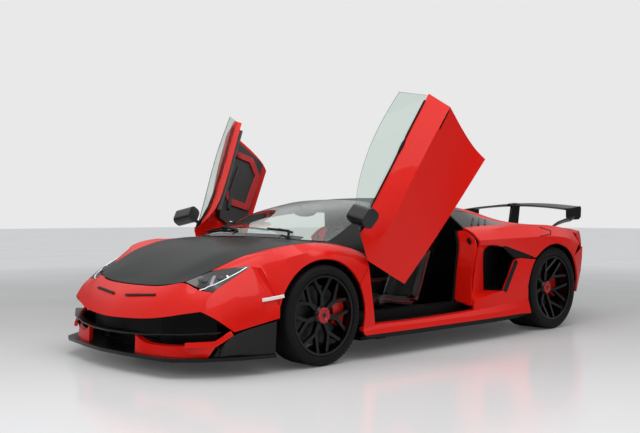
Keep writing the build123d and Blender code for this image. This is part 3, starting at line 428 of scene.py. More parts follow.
def lofted(loops, closed=False, capped=True):
    """bmesh of a skin through rings of points: joined end to end, or with flat ends."""
    bm = bmesh.new()
    rings = [[bm.verts.new(point) for point in loop] for loop in loops]
    for a, b in zip(rings, rings[1:] + rings[:1] if closed else rings[1:]):
        for k in range(-1, len(a) - 1):
            bm.faces.new((a[k], a[k + 1], b[k + 1], b[k]))
    if capped and not closed:
        bm.faces.new(rings[0][::-1])
        bm.faces.new(rings[-1])
    return bm


def revolved(profile, centre, segments):
    """bmesh turned about the Y axis through centre: (y, radius) points."""
    rings = []
    for k in range(segments):
        turn = 2 * math.pi * k / segments
        rings.append([centre + Vector((r * math.cos(turn), y, r * math.sin(turn)))
                      for y, r in profile])
    return lofted(rings, True)


def repeated(name, source, count, key, middle=(0, 0, 0), step=(0, 0, 0), turn=0.0):
    """Copies of the source mesh by geometry nodes: each is moved by step and turned
    by turn about Y from the one before it, starting at middle."""
    tree = bpy.data.node_groups.new(name + "_tree", "GeometryNodeTree")
    face = tree.interface
    face.new_socket("Geometry", in_out="INPUT", socket_type="NodeSocketGeometry")
    values = {"Copies": ("NodeSocketInt", count), "Middle": ("NodeSocketVector", middle),
              "Step": ("NodeSocketVector", step), "Turn": ("NodeSocketFloat", turn),
              "Finish": ("NodeSocketMaterial", M[key])}
    sockets = {word: face.new_socket(word, in_out="INPUT", socket_type=kind)
               for word, (kind, value) in values.items()}
    face.new_socket("Geometry", in_out="OUTPUT", socket_type="NodeSocketGeometry")
    given = add_node(tree, "NodeGroupInput")
    index = add_node(tree, "GeometryNodeInputIndex")
    travel = add_node(tree, "ShaderNodeVectorMath",
                      {0: given.outputs["Step"], "Scale": index.outputs[0]},
                      operation="SCALE")
    place = add_node(tree, "ShaderNodeVectorMath",
                     {0: given.outputs["Middle"], 1: travel.outputs[0]}, operation="ADD")
    points = add_node(tree, "GeometryNodePoints",
                      {"Count": given.outputs["Copies"], "Position": place.outputs[0]})
    angle = combine(tree, "MULTIPLY", index.outputs[0], given.outputs["Turn"])
    angles = add_node(tree, "ShaderNodeCombineXYZ", {"Y": angle})
    placed = add_node(tree, "GeometryNodeInstanceOnPoints",
                      {"Points": points.outputs[0], "Instance": given.outputs["Geometry"],
                       "Rotation": angles.outputs[0]})
    real = add_node(tree, "GeometryNodeRealizeInstances", {"Geometry": placed.outputs[0]})
    coated = add_node(tree, "GeometryNodeSetMaterial",
                      {"Geometry": real.outputs[0], "Material": given.outputs["Finish"]})
    add_node(tree, "NodeGroupOutput", {"Geometry": coated.outputs[0]})
    modifier = source.modifiers.new("copies", "NODES")
    modifier.node_group = tree
    for word, (kind, value) in values.items():
        modifier[sockets[word].identifier] = value
    graph = bpy.context.evaluated_depsgraph_get()
    mesh = bpy.data.meshes.new_from_object(source.evaluated_get(graph))
    mesh.name = name
    bpy.data.objects.remove(source)
    return link(name, mesh, (key,))


def swung(point, side):
    """A place on the closed door, moved to where it is with the door open."""
    mirror_y = Vector((1, side, 1))
    left = Vector(point) * mirror_y
    return (DOOR_HINGE + DOOR_OPEN @ (left - DOOR_HINGE)) * mirror_y


TREES = {}


def snap(node, point):
    """Nearest place on a CAD node's surface, and its outward normal."""
    if node not in TREES:
        mesh = NODES[node].data
        TREES[node] = BVHTree.FromPolygons([v.co for v in mesh.vertices],
                                           [p.vertices for p in mesh.polygons])
    return TREES[node].find_nearest(Vector(point))[:2]


ASLANT = Vector((0.13, 0.29, 0.95))   # no tube runs this way
ROUNDING = 0.2            # share of a bar's thickness that its edges are rounded by
LIFT = 0.3                # share of a laid strip's thickness that it is raised by


def along(points, parts=6):
    """Points joined by straight lines and cut into parts."""
    points = [Vector(p) for p in points]
    made = []
    for a, b in zip(points[:-1], points[1:]):
        made += [a.lerp(b, k / parts) for k in range(parts)]
    return made + [points[-1]]


def both_ways(points):
    """Points of the left half, from the middle outward, made whole."""
    return [(x, -y, z) for x, y, z in points[::-1] if y > 0] + list(points)


def on_side(points, side):
    """Points of the left half, on the side asked for: 1 left, -1 right."""
    return [(x, side * y, z) for x, y, z in points]


def bar_mesh(points, ups, width, thick):
    """bmesh of a flat bar along points, its thickness along each point's up."""
    rings = []
    for k, point in enumerate(points):
        ahead = points[min(k + 1, len(points) - 1)] - points[max(k - 1, 0)]
        side = ahead.cross(ups[k]).normalized() * width / 2
        top = ups[k].normalized() * thick / 2
        rings.append([point + s * side + t * top
                      for s, t in ((-1, -1), (1, -1), (1, 1), (-1, 1))])
    return lofted(rings)


def straight_bar(points, up, width, thick):
    points = [Vector(p) for p in points]
    return bar_mesh(points, [Vector(up)] * len(points), width, thick)


def strip(name, points, width, thick, key, up=(0, 0, 1)):
    """Flat bar along points; width across, thick along up."""
    bm = straight_bar(along(points, 4), up, width, thick)
    piece(name, bm, key, edge=min(width, thick) * ROUNDING)


def laid(name, node, points, width, thick, key):
    """Strip that lies on a node's surface along the given points."""
    places, normals = zip(*(snap(node, p) for p in along(points)))
    lifted = [p + n * thick * LIFT for p, n in zip(places, normals)]
    bm = bar_mesh(lifted, normals, width, thick)
    piece(name, bm, key, BODY_OF[node], edge=thick * ROUNDING)


def tube(name, points, radius, key, body="chassis", closed=False, sides=10):
    """Round bar along points."""
    points = [Vector(p) for p in points]
    count = len(points)
    rings = []
    for k, point in enumerate(points):
        if closed:
            ahead = points[(k + 1) % count] - points[k - 1]
        else:
            ahead = points[min(k + 1, count - 1)] - points[max(k - 1, 0)]
        across = ahead.cross(ASLANT).normalized()
        other = ahead.cross(across).normalized()
        rings.append(circle(point, radius, across, other, sides))
    piece(name, lofted(rings, closed), key, body)


# ---- pieces ------------------------------------------------------------------
SKIRT_LINE = 0.168        # height where the painted rocker meets the carbon skirt
SCOOP_LINE = -0.42        # x ahead of which the side scoop is painted
WINDOW_EDGE = (Vector((-0.67, 0, 0.968)), Vector((-0.235, 0, 0.972)))
JAMB_OUTER = ((-0.276, 0.824, 0.872), (-0.266, 0.905, 0.818), (-0.256, 0.972, 0.765),
              (-0.232, 0.955, 0.650), (-0.216, 0.944, 0.530), (-0.200, 0.944, 0.420),
              (-0.192, 0.960, 0.320), (-0.188, 0.972, 0.262))
JAMB_INNER = ((-0.262, 0.745, 0.858), (-0.250, 0.770, 0.800), (-0.240, 0.785, 0.740),
              (-0.222, 0.785, 0.640), (-0.208, 0.782, 0.530), (-0.194, 0.782, 0.420),
              (-0.184, 0.785, 0.350), (-0.170, 0.790, 0.305))
SILL_SEAL = ((-0.130, 0.795, 0.290), (-0.080, 0.800, 0.288), (0.400, 0.805, 0.286),
             (0.900, 0.805, 0.286))
JAMB_THICK = 0.012
JAMB_CROWN = 0.006


def door_jamb(side, word):
    """Painted wall behind the door's rear edge, with its rubber seal and latch."""
    loops = []
    for outer, inner in zip(JAMB_OUTER, JAMB_INNER):
        front = []
        for share in (0.0, 0.35, 0.75, 1.0):
            spot = Vector(outer).lerp(Vector(inner), share)
            spot.x -= JAMB_CROWN * math.sin(math.pi * share)
            front.append(spot * Vector((1, side, 1)))
        loops.append(front + [spot - Vector((JAMB_THICK, 0, 0)) for spot in front[::-1]])
    bm = lofted(loops, capped=False)
    corners = list(bm.verts)
    for ring in (corners[:8], corners[-8:]):
        for k in range(3):
            bm.faces.new((ring[k], ring[k + 1], ring[6 - k], ring[7 - k]))
    subdivided(piece("door_jamb_" + word, bm, "body_paint", sharp=50.0), 2)
    seal = [(x + 0.004, y, z) for x, y, z in JAMB_INNER] + list(SILL_SEAL)
    tube("door_seal_" + word, along(on_side(seal, side), 3), 0.011, "black_trim")
    latch = on_side([(-0.251, 0.872, 0.800), (-0.247, 0.900, 0.760)], side)
    piece("door_latch_" + word, straight_bar(latch, (1, 0, 0.2), 0.030, 0.008),
          "black_trim", edge=0.003)


class SUPERCAR_OT_body(bpy.types.Operator):
    """Painted and carbon body panels"""
    bl_idname = "supercar.body"
    bl_label = "Body panels"

    def execute(self, context):
        for node in ("nose", "front_fenders", "fender_corners", "rear_quarters",
                     "rocker_panels", "bumper_blades"):
            smooth_panel(node, "body_paint")
        smooth_panel("bonnet", "bonnet", ridge=bonnet_ridge)
        smooth_panel("roof", "carbon")
        smooth_panel("side_scoops", "carbon", rule=lambda p, n: p.x > SCOOP_LINE,
                     extra=("body_paint",))
        smooth_panel("side_skirts", "carbon", rule=lambda p, n: p.z > SKIRT_LINE,
                     extra=("body_paint",), cut=((0, 0, SKIRT_LINE), (0, 0, 1)))
        for node in ("cowl", "tail_panel"):
            smooth_panel(node, "black_gloss")
        smooth_panel("a_pillars", "black_trim")
        smooth_panel("engine_cover", "carbon", 1)
        smooth_panel("rear_deck", "body_paint", 1)
        for node in ("front_splitter", "diffuser"):
            smooth_panel(node, "carbon", 0)
        for side, word in SIDES:
            line = on_side([(-1.139, 0.962, 0.881), (-1.263, 0.993, 0.849),
                            (-1.216, 1.022, 0.819), (-1.047, 1.027, 0.807)], side)
            laid("vent_line_" + word, "rear_quarters", line, 0.008, 0.003, "black_trim")
            band = on_side([(-0.580, 0.993, 0.366), (-0.660, 0.997, 0.498),
                            (-0.732, 1.000, 0.612)], side)
            laid("scoop_band_" + word, "rear_quarters", band, 0.045, 0.006, "carbon")
        dress("intake_walls", "black_trim")
        dress("exhaust_tips", "steel")
        for side, word in SIDES:
            door_jamb(side, word)
        return {"FINISHED"}


RIDGE_HEIGHT = 0.014
RIDGE_REACH = 0.045       # half width of the band of vertices that a ridge lifts
RIDGE_FRONT = (2.238, 0.350)    # x and y of the line's front end
RIDGE_SPREAD = 0.243      # how far the line moves outward for each metre back
RIDGE_RUN = (1.50, 2.20)  # x between which it is raised


def bonnet_ridge(spot):
    """The bonnet's two pressed ridges, along its inner feature lines."""
    middle = RIDGE_FRONT[1] + RIDGE_SPREAD * (RIDGE_FRONT[0] - spot.x)
    near = abs(abs(spot.y) - middle) < RIDGE_REACH
    return RIDGE_HEIGHT if near and RIDGE_RUN[0] < spot.x < RIDGE_RUN[1] else 0.0


WING_TOP = 1.098          # height of the blade at its middle
WING_ARCH = 0.042         # how much lower its ends are
WING_HALF = 0.614
END_PLATE_FACES = (0.611, 0.623)
WING_SECTION = ((-2.128, -0.014), (-2.140, -0.003), (-2.210, 0.000), (-2.310, 0.004),
                (-2.408, 0.016), (-2.410, 0.010), (-2.310, -0.012), (-2.210, -0.022),
                (-2.145, -0.022))
END_PLATE = ((-2.150, 1.046), (-2.405, 1.078), (-2.422, 1.060), (-2.415, 0.968),
             (-2.375, 0.944), (-2.200, 0.940), (-2.150, 0.965))
WING_PYLON = ((-2.080, 0.856), (-2.235, 0.856), (-2.275, 1.090), (-2.135, 1.090))


class SUPERCAR_OT_wing(bpy.types.Operator):
    """Arched wing blade, its end plates, arms and centre pylon"""
    bl_idname = "supercar.wing"
    bl_label = "Rear wing"

    def execute(self, context):
        loops = []
        for k in range(25):
            share = k / 12 - 1
            crest = WING_TOP - WING_ARCH * share * share
            loops.append([(x, WING_HALF * share, crest + z) for x, z in WING_SECTION])
        blade = self.part("wing_blade", lofted(loops), 40.0)
        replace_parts(blade, "rear_wing")
        for side, word in SIDES:
            self.plate("wing_end_plate_" + word, END_PLATE,
                       [side * face for face in END_PLATE_FACES])
            arm = on_side([(-2.075, 0.500, 0.862), (-2.110, 0.540, 0.905),
                           (-2.190, 0.585, 0.936), (-2.270, 0.617, 0.952)], side)
            self.part("wing_arm_" + word,
                      straight_bar(arm, (0.1, -side * 0.55, 0.8), 0.085, 0.014), edge=0.003)
        self.plate("wing_pylon", WING_PYLON, (-0.012, 0.012))
        pod = []
        for k in range(9):
            share = k / 8
            wide = 0.052 * math.sin(math.pi * (0.12 + 0.76 * share)) ** 0.6
            top = WING_TOP + 0.016 * math.sin(math.pi * (0.08 + 0.84 * share))
            x = -2.095 - 0.170 * share
            pod.append([(x, -wide, 1.076), (x, -wide * 0.8, top - 0.004), (x, 0.0, top),
                        (x, wide * 0.8, top - 0.004), (x, wide, 1.076)])
        self.part("wing_pod", lofted(pod), 50.0)
        return {"FINISHED"}

    def part(self, name, bm, sharp=35.0, edge=0.0):
        return piece(name, bm, "carbon", BODY_OF["rear_wing"], sharp, edge)

    def plate(self, name, outline, faces):
        """Upright plate between two places across the car."""
        self.part(name, lofted([[(x, y, z) for x, z in outline] for y in faces]), edge=0.003)


class SUPERCAR_OT_bumper(bpy.types.Operator):
    """Carbon blade, slats and slots of the nose"""
    bl_idname = "supercar.bumper"
    bl_label = "Bumper details"

    def execute(self, context):
        middle = [(2.430, 0.0, 0.238), (2.415, 0.20, 0.239), (2.375, 0.40, 0.244),
                  (2.290, 0.68, 0.262), (2.175, 0.900, 0.284)]
        strip("nose_blade", both_ways(middle), 0.050, 0.009, "carbon")
        slat = straight_bar([(2.24, -0.34, 0), (2.24, 0.34, 0)], (0.3, 0, 1), 0.040, 0.006)
        slats = repeated("nose_slats", from_bmesh("slat", slat, ("black_gloss",)), 4,
                         "black_gloss", (0, 0, 0.150), (0, 0, 0.022))
        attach(slats, "chassis")
        for side, word in SIDES:
            lip = on_side([(2.300, 0.700, 0.196), (2.196, 0.872, 0.214),
                           (2.108, 0.918, 0.276)], side)
            strip("nose_lip_" + word, lip, 0.034, 0.030, "body_paint",
                  (0.45, side * 0.75, 0.2))
            slot = on_side([(2.345, 0.075, 0.47), (2.300, 0.370, 0.482)], side)
            laid("nostril_slot_" + word, "nose", slot, 0.017, 0.004, "black_trim")
            marker = on_side([(1.893, 0.936, 0.459), (1.837, 0.946, 0.465),
                              (1.768, 0.960, 0.474), (1.742, 0.966, 0.478)], side)
            strip("side_marker_" + word, marker, 0.022, 0.012, "marker",
                  (0.15, side, 0.2))
        return {"FINISHED"}


class SUPERCAR_OT_doors(bpy.types.Operator):
    """Door shells, their inner trims, handles and the mirrors"""
    bl_idname = "supercar.doors"
    bl_label = "Doors"

    def execute(self, context):
        for side, word in SIDES:
            door, trim = "door_" + word, "door_trim_" + word
            smooth_panel(door, "body_paint")
            smooth_panel(trim, "leather_black")
            smooth_panel("mirror_" + word, "black_gloss", 1, crease_at=60.0)

            def place(points, side=side):
                return [swung(point, side) for point in on_side(points, side)]

            belt = place(((0.850, 0.938, 0.790), (0.633, 0.862, 0.786),
                          (0.330, 0.836, 0.812), (0.060, 0.820, 0.848),
                          (-0.200, 0.812, 0.876)))
            laid("belt_strip_" + word, door, belt, 0.022, 0.010, "black_trim")
            handle = place(((-0.060, 0.995, 0.752), (-0.205, 0.991, 0.772)))
            laid("handle_slot_" + word, door, handle, 0.012, 0.004, "black_trim")
            ring = place(((0.420, 0.86, 0.560), (0.330, 0.86, 0.690), (0.080, 0.85, 0.735),
                          (-0.040, 0.85, 0.690), (-0.080, 0.85, 0.520), (0.020, 0.85, 0.390),
                          (0.360, 0.86, 0.380), (0.420, 0.86, 0.560)))
            laid("door_bolster_" + word, trim, ring, 0.062, 0.014, "leather_red")
            pull = place(((0.500, 0.860, 0.560), (0.330, 0.856, 0.600),
                          (0.060, 0.850, 0.610)))
            laid("door_pull_" + word, trim, pull, 0.034, 0.022, "leather_black")
            self.speaker(word, trim, place(((0.700, 0.87, 0.470),))[0])
        return {"FINISHED"}

    def speaker(self, word, trim, middle):
        ring = facing(*snap(trim, middle), 0.062, 32)
        tube("speaker_ring_" + word, ring, 0.006, "chrome", BODY_OF[trim], True)


class SUPERCAR_OT_glazing(bpy.types.Operator):
    """Windscreen, door glass, quarter windows and wipers"""
    bl_idname = "supercar.glazing"
    bl_label = "Glazing"

    def execute(self, context):
        smooth_panel("windscreen", "glass")
        for side, word in SIDES:
            smooth_panel("door_glass_" + word, "glass")
        edge, upward = WINDOW_EDGE
        smooth_panel("quarter_windows", "dark_glass", extra=("body_paint",),
                     rule=lambda p, n: (p - edge).dot(upward) > 0, cut=WINDOW_EDGE)
        for side, word in SIDES:
            for number, x in enumerate((-0.40, -0.49, -0.58)):
                fin = on_side([(x, 0.800, 0.905), (x - 0.10, 0.745, 0.965)], side)
                laid(f"quarter_louvre_{number}_{word}", "quarter_windows", fin, 0.012,
                     0.010, "black_gloss")
        band = both_ways([(1.345, 0.0, 0.838), (1.320, 0.32, 0.834), (1.270, 0.60, 0.822)])
        laid("screen_band", "windscreen", band, 0.050, 0.002, "black_gloss")
        for number, ends in enumerate(((0.480, -0.120), (-0.120, -0.640))):
            self.wiper(number, *ends)
        return {"FINISHED"}

    def wiper(self, number, pivot_y, tip_y):
        """Arm from the cowl and its rubber blade, near the screen's foot."""
        blade = []
        for share in (0.0, 0.25, 0.5, 0.75, 1.0):
            y = pivot_y + (tip_y - pivot_y) * share
            place, normal = snap("windscreen", (1.255 - 0.05 * share, y, 0.875))
            blade.append(place + normal * 0.010)
        strip(f"wiper_blade_{number}", blade, 0.016, 0.014, "black_trim")
        root = snap("cowl", (1.300, pivot_y + 0.02, 0.83))[0]
        knee = Vector((1.285, pivot_y, 0.872))
        tube(f"wiper_arm_{number}", along([root, knee, blade[2] + Vector((0, 0, 0.012))]),
             0.009, "black_trim")


LAMP_LINES = (  # name, width, finish, points on the left headlamp
    ("light_guide_", 0.006, "lamp_strip",
     ((2.165, 0.660, 0.520), (2.151, 0.698, 0.529), (2.106, 0.742, 0.556),
      (2.035, 0.780, 0.595), (1.957, 0.798, 0.632), (1.905, 0.800, 0.655))),
    ("light_hook_", 0.010, "lamp_strip", ((2.032, 0.776, 0.597), (2.022, 0.752, 0.604))),
    ("lamp_bridge_", 0.022, "steel",
     ((2.120, 0.720, 0.552), (2.085, 0.690, 0.580), (2.045, 0.668, 0.592))),
)
PROJECTORS = ((2.130, 0.655), (2.060, 0.730), (1.995, 0.755))   # x, y
LENS_DOME = ((0.024, -0.004), (0.024, 0.002), (0.020, 0.005), (0.012, 0.008),
             (0.004, 0.009))      # radius, height above the lamp's face


class SUPERCAR_OT_lamps(bpy.types.Operator):
    """Headlamps with their light guides, and tail lamps"""
    bl_idname = "supercar.lamps"
    bl_label = "Lamps"

    def execute(self, context):
        smooth_panel("headlights", "dark_glass", 1)
        smooth_panel("taillights", "red_lamp", 1)
        for side, word in SIDES:
            for name, width, key, line in LAMP_LINES:
                laid(name + word, "headlights", on_side(line, side), width, 0.004, key)
            for number, (x, y) in enumerate(PROJECTORS):
                self.projector(f"projector_{number}_{word}", x, side * y)
        return {"FINISHED"}

    def projector(self, name, x, y):
        """Domed projector lens that stands a little out of the lamp's face."""
        place, normal = snap("headlights", (x, y, 0.60))
        loops = [facing(place + normal * lift, normal, radius, 24)
                 for radius, lift in LENS_DOME]
        piece(name, lofted(loops), "iron", sharp=60.0)


BRAKES = {  # axle: radius of the disc, and where its outer face stands from the hub
    "f": (0.196, 0.033),
    "r": (0.191, 0.021),
}
CALIPER_REACH = 0.128     # radius beyond which the upright's rear is the caliper
NUT_FACE = {"f": 0.1075, "r": 0.0955}
BLOCK_DEPTH = 0.006
BLOCK_SHARE = 0.62        # of the tread's pitch that a block takes up
PROUD = 0.0004            # how far the blocks stand out of the tread


def tyre_piece(corner):
    """Tyre with three grooves round it."""
    x, y, z, radius, width, rim = WHEELS[corner]
    sizes = bpy.context.scene.car_sizes
    half, groove = width / 2, sizes.tread_depth
    side = [(-half + 0.022, rim + 0.0004), (-half + 0.004, rim + 0.010),
            (-half + 0.0008, rim + 0.026), (-half, (rim + radius) / 2),
            (-half + 0.002, radius - 0.028), (-half + 0.008, radius - 0.014),
            (-half + 0.018, radius - 0.006), (-half + 0.030, radius - 0.002)]
    tread = []
    for share in (-0.27, 0.0, 0.27):
        at = share * width
        tread += [(at - 0.007, radius), (at - 0.005, radius - groove),
                  (at + 0.005, radius - groove), (at + 0.007, radius)]
    profile = side + tread + [(-a, r) for a, r in side[::-1]]
    bm = revolved(profile, Vector((x, y, z)), 144)
    return piece("tyre_tread_" + corner, bm, "tyre", "wheel_" + corner, 40.0)


class SUPERCAR_OT_wheels(bpy.types.Operator):
    """Tyres with their tread, rims, centre nuts and brakes"""
    bl_idname = "supercar.wheels"
    bl_label = "Wheels"

    def execute(self, context):
        sizes = context.scene.car_sizes
        for corner, (x, y, z, radius, width, _) in WHEELS.items():
            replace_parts(tyre_piece(corner), "tyre_" + corner)
            middle = Vector((x, y, z))
            self.blocks(corner, middle, radius, width, sizes.tread_pitch)
            outward = 1 if y > 0 else -1

            def is_disc(point, normal, middle=middle, outward=outward, axle=corner[0]):
                reach, face = BRAKES[axle]
                off = math.hypot(point.x - middle.x, point.z - middle.z)
                return off < reach and (point.y - middle.y) * outward < face

            smooth_panel("rim_" + corner, "rim_black", 0, "rim_face_" + corner, 32.0,
                         is_disc, ("iron",))
            self.nut(corner, middle, outward, sizes.nut_radius)
        for node, corners in (("knuckle_fl", ("fl",)), ("knuckle_fr", ("fr",)),
                              ("rear_knuckles", ("rl", "rr"))):
            self.carrier(node, corners)
        return {"FINISHED"}

    def carrier(self, node, corners):
        """Upright in cast iron with its caliper in red enamel."""
        hubs = [Vector(WHEELS[corner][:3]) for corner in corners]

        def is_caliper(point, normal):
            near = min(hubs, key=lambda hub: (hub - point).length)
            off = math.hypot(point.x - near.x, point.z - near.z)
            return off > CALIPER_REACH and point.x < near.x - 0.100

        smooth_panel(node, "iron", 0, node + "_cast", 32.0, is_caliper, ("caliper",))

    def blocks(self, corner, middle, radius, width, count):
        """Shoulder blocks of the tread, round both edges of the tyre."""
        half = math.pi * radius / count * BLOCK_SHARE
        bm = bmesh.new()
        for edge in (-1, 1):
            spots = ((width / 2 - 0.045, 0.0), (width / 2 - 0.016, -0.0035))
            rows = []
            for depth in (0.0, -BLOCK_DEPTH):
                for across, drop in spots:
                    for ahead in (-half, half):
                        rows.append(bm.verts.new((ahead, edge * across,
                                                  radius + PROUD + drop + depth)))
            for face in ((0, 1, 3, 2), (4, 6, 7, 5), (0, 4, 5, 1), (2, 3, 7, 6),
                         (0, 2, 6, 4), (1, 5, 7, 3)):
                bm.faces.new([rows[k] for k in face])
        source = from_bmesh("block", bm, ("tyre",))
        item = repeated("tread_blocks_" + corner, source, count, "tyre", middle,
                        turn=2 * math.pi / count)
        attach(item, "wheel_" + corner)

    def nut(self, corner, middle, outward, radius):
        """Twelve-lobed centre-lock nut and its cap."""
        base = middle + Vector((0, outward * NUT_FACE[corner[0]], 0))
        rings = []
        for depth, size in ((0.0, 1.0), (0.007, 1.0), (0.010, 0.9), (0.010, 0.62),
                            (0.006, 0.56)):
            ring = []
            for k in range(72):
                turn = 2 * math.pi * k / 72
                lobe = 1.0 + (0.07 * math.cos(12 * turn) if size > 0.8 else 0.0)
                reach = radius * size * lobe
                ring.append(base + Vector((reach * math.cos(turn), outward * depth,
                                           reach * math.sin(turn))))
            rings.append(ring)
        body = "wheel_" + corner
        piece("centre_nut_" + corner, lofted(rings), "red_anodised", body, 30.0)
        cap = revolved([(outward * 0.004, 0.0005), (outward * 0.0095, 0.0005),
                        (outward * 0.0085, 0.014), (outward * 0.004, 0.018)], base, 40)
        piece("nut_cap_" + corner, cap, "black_gloss", body)


class SUPERCAR_OT_running_gear(bpy.types.Operator):
    """Axles, arms, engine, arch liners and hinges"""
    bl_idname = "supercar.running_gear"
    bl_label = "Running gear"

    def execute(self, context):
        for node in ("front_axle", "rear_axle", "engine"):
            dress(node, "aluminium")
        for node in ("wheel_arch_liners", "floor_pan", "rear_bulkhead", "front_trunk"):
            dress(node, "black_trim")
        for node in ("door_hinges", "lid_hinges"):
            dress(node, "steel")
        return {"FINISHED"}


class SUPERCAR_OT_louvres(bpy.types.Operator):
    """Slats over the engine"""
    bl_idname = "supercar.louvres"
    bl_label = "Louvres"

    def execute(self, context):
        for number, x in enumerate((-0.62, -0.86, -1.10, -1.34, -1.58)):
            half = 0.42 - 0.02 * number
            slat = both_ways([(x, 0.0, 1.2), (x - 0.03, half * 0.6, 1.2),
                              (x - 0.09, half, 1.2)])
            laid(f"engine_slat_{number}", "engine_cover", slat, 0.070, 0.014, "black_gloss")
        return {"FINISHED"}


SHEET = 0.002             # least thickness of a seat's pieces
SEAT_MIDDLE = 0.390
SWELL_CAP = 0.008         # farthest that a pad's skin moves as it swells
PIPING_EDGE = 0.93        # place of the welt, as a share of a pad's half width
PIPING_LIFT = 0.058
SEAT_LINE = ((0.462, 0.262), (0.400, 0.280), (0.220, 0.250), (0.060, 0.236),
             (-0.035, 0.285), (-0.110, 0.440), (-0.175, 0.620), (-0.228, 0.760),
             (-0.262, 0.850))


def seat_frame(share):
    """Place and normal on the seat's side profile; share runs from knee to head."""
    points = [Vector((x, 0, z)) for x, z in SEAT_LINE]
    steps = [(b - a).length for a, b in zip(points[:-1], points[1:])]
    left = share * sum(steps)
    for a, b, step in zip(points[:-1], points[1:], steps):
        if left <= step or b is points[-1]:
            ahead = (b - a).normalized()
            return a + ahead * min(left, step), Vector((ahead.z, 0, -ahead.x))
        left -= step


def seat_grid(start, end, half, rows, columns, height):
    """Closed crowned form on the seat's profile, height(s, u) thick: s runs across
    from -1 to 1 and u along from 0 to 1."""
    bm = bmesh.new()
    layers = []
    for floor in (False, True):
        grid = []
        for k in range(rows + 1):
            u = k / rows
            place, normal = seat_frame(start + (end - start) * u)
            line = []
            for j in range(columns + 1):
                s = 2 * j / columns - 1
                pull = 1 - 0.05 * (1 - abs(2 * u - 1)) * abs(s) ** 4
                lift = 0.008 + 0.030 * abs(s) ** 3
                if not floor:
                    lift += max(height(s, u), SHEET)
                line.append(bm.verts.new(place + Vector((0, s * half * pull, 0))
                                         + normal * lift))
            grid.append(line)
        layers.append(grid)
    top, base = layers
    for k in range(rows):
        for j in range(columns):
            bm.faces.new((top[k][j], top[k + 1][j], top[k + 1][j + 1], top[k][j + 1]))
            bm.faces.new((base[k][j], base[k][j + 1], base[k + 1][j + 1], base[k + 1][j]))
    rim = ([(0, j) for j in range(columns)] + [(k, columns) for k in range(rows)]
           + [(rows, columns - j) for j in range(columns)]
           + [(rows - k, 0) for k in range(rows)])
    for (a, b), (c, d) in zip(rim, rim[1:] + rim[:1]):
        bm.faces.new((top[a][b], top[c][d], base[c][d], base[a][b]))
    bmesh.ops.recalc_face_normals(bm, faces=bm.faces)
    return bm


def swell(item, pressure=4.0, frames=20):
    """Cloth under pressure, its result kept in the mesh."""
    rest = [v.co.copy() for v in item.data.vertices]
    cloth = item.modifiers.new("swell", "CLOTH")
    cloth.settings.use_pressure = True
    cloth.settings.uniform_pressure_force = pressure
    cloth.settings.effector_weights.gravity = 0.0
    cloth.settings.tension_stiffness = cloth.settings.compression_stiffness = 25.0
    cloth.settings.quality = 6
    scene = bpy.context.scene
    for frame_number in range(1, frames + 1):
        scene.frame_set(frame_number)
    graph = bpy.context.evaluated_depsgraph_get()
    after = [v.co.copy() for v in item.evaluated_get(graph).data.vertices]
    item.modifiers.remove(cloth)
    for vertex, before, moved in zip(item.data.vertices, rest, after):
        shift = moved - before
        if shift.length > SWELL_CAP:
            shift *= SWELL_CAP / shift.length
        vertex.co = before + shift
    scene.frame_set(1)


CHANNELS = (-0.115, 0.0, 0.115)       # sewn lines from the pad's middle, across the car
CHANNEL_DEPTH = 0.006


def stitch(item, middle_y):
    """Sewn channels pressed into a pad after it has swelled."""
    for vertex in item.data.vertices:
        across = vertex.co.y - middle_y
        for channel in CHANNELS:
            share = math.exp(-((across - channel) / 0.006) ** 2)
            place, normal = nearest_on_seat(vertex.co)
            if (vertex.co - place).dot(normal) > 0.03:
                vertex.co -= normal * CHANNEL_DEPTH * share


def nearest_on_seat(point):
    flat = Vector((point.x, 0, point.z))
    best = min((seat_frame(k / 40) for k in range(41)),
               key=lambda pair: (pair[0] - flat).length)
    return Vector((best[0].x, point.y, best[0].z)), best[1]


PADS = {  # name: start, end, half width, crown, bolster height, rows, columns
    "cushion": (0.02, 0.36, 0.195, 0.052, 0.040, 26, 28),
    "backrest": (0.41, 0.84, 0.190, 0.048, 0.042, 30, 28),
    "headrest": (0.865, 0.99, 0.115, 0.045, 0.0, 14, 18),
}


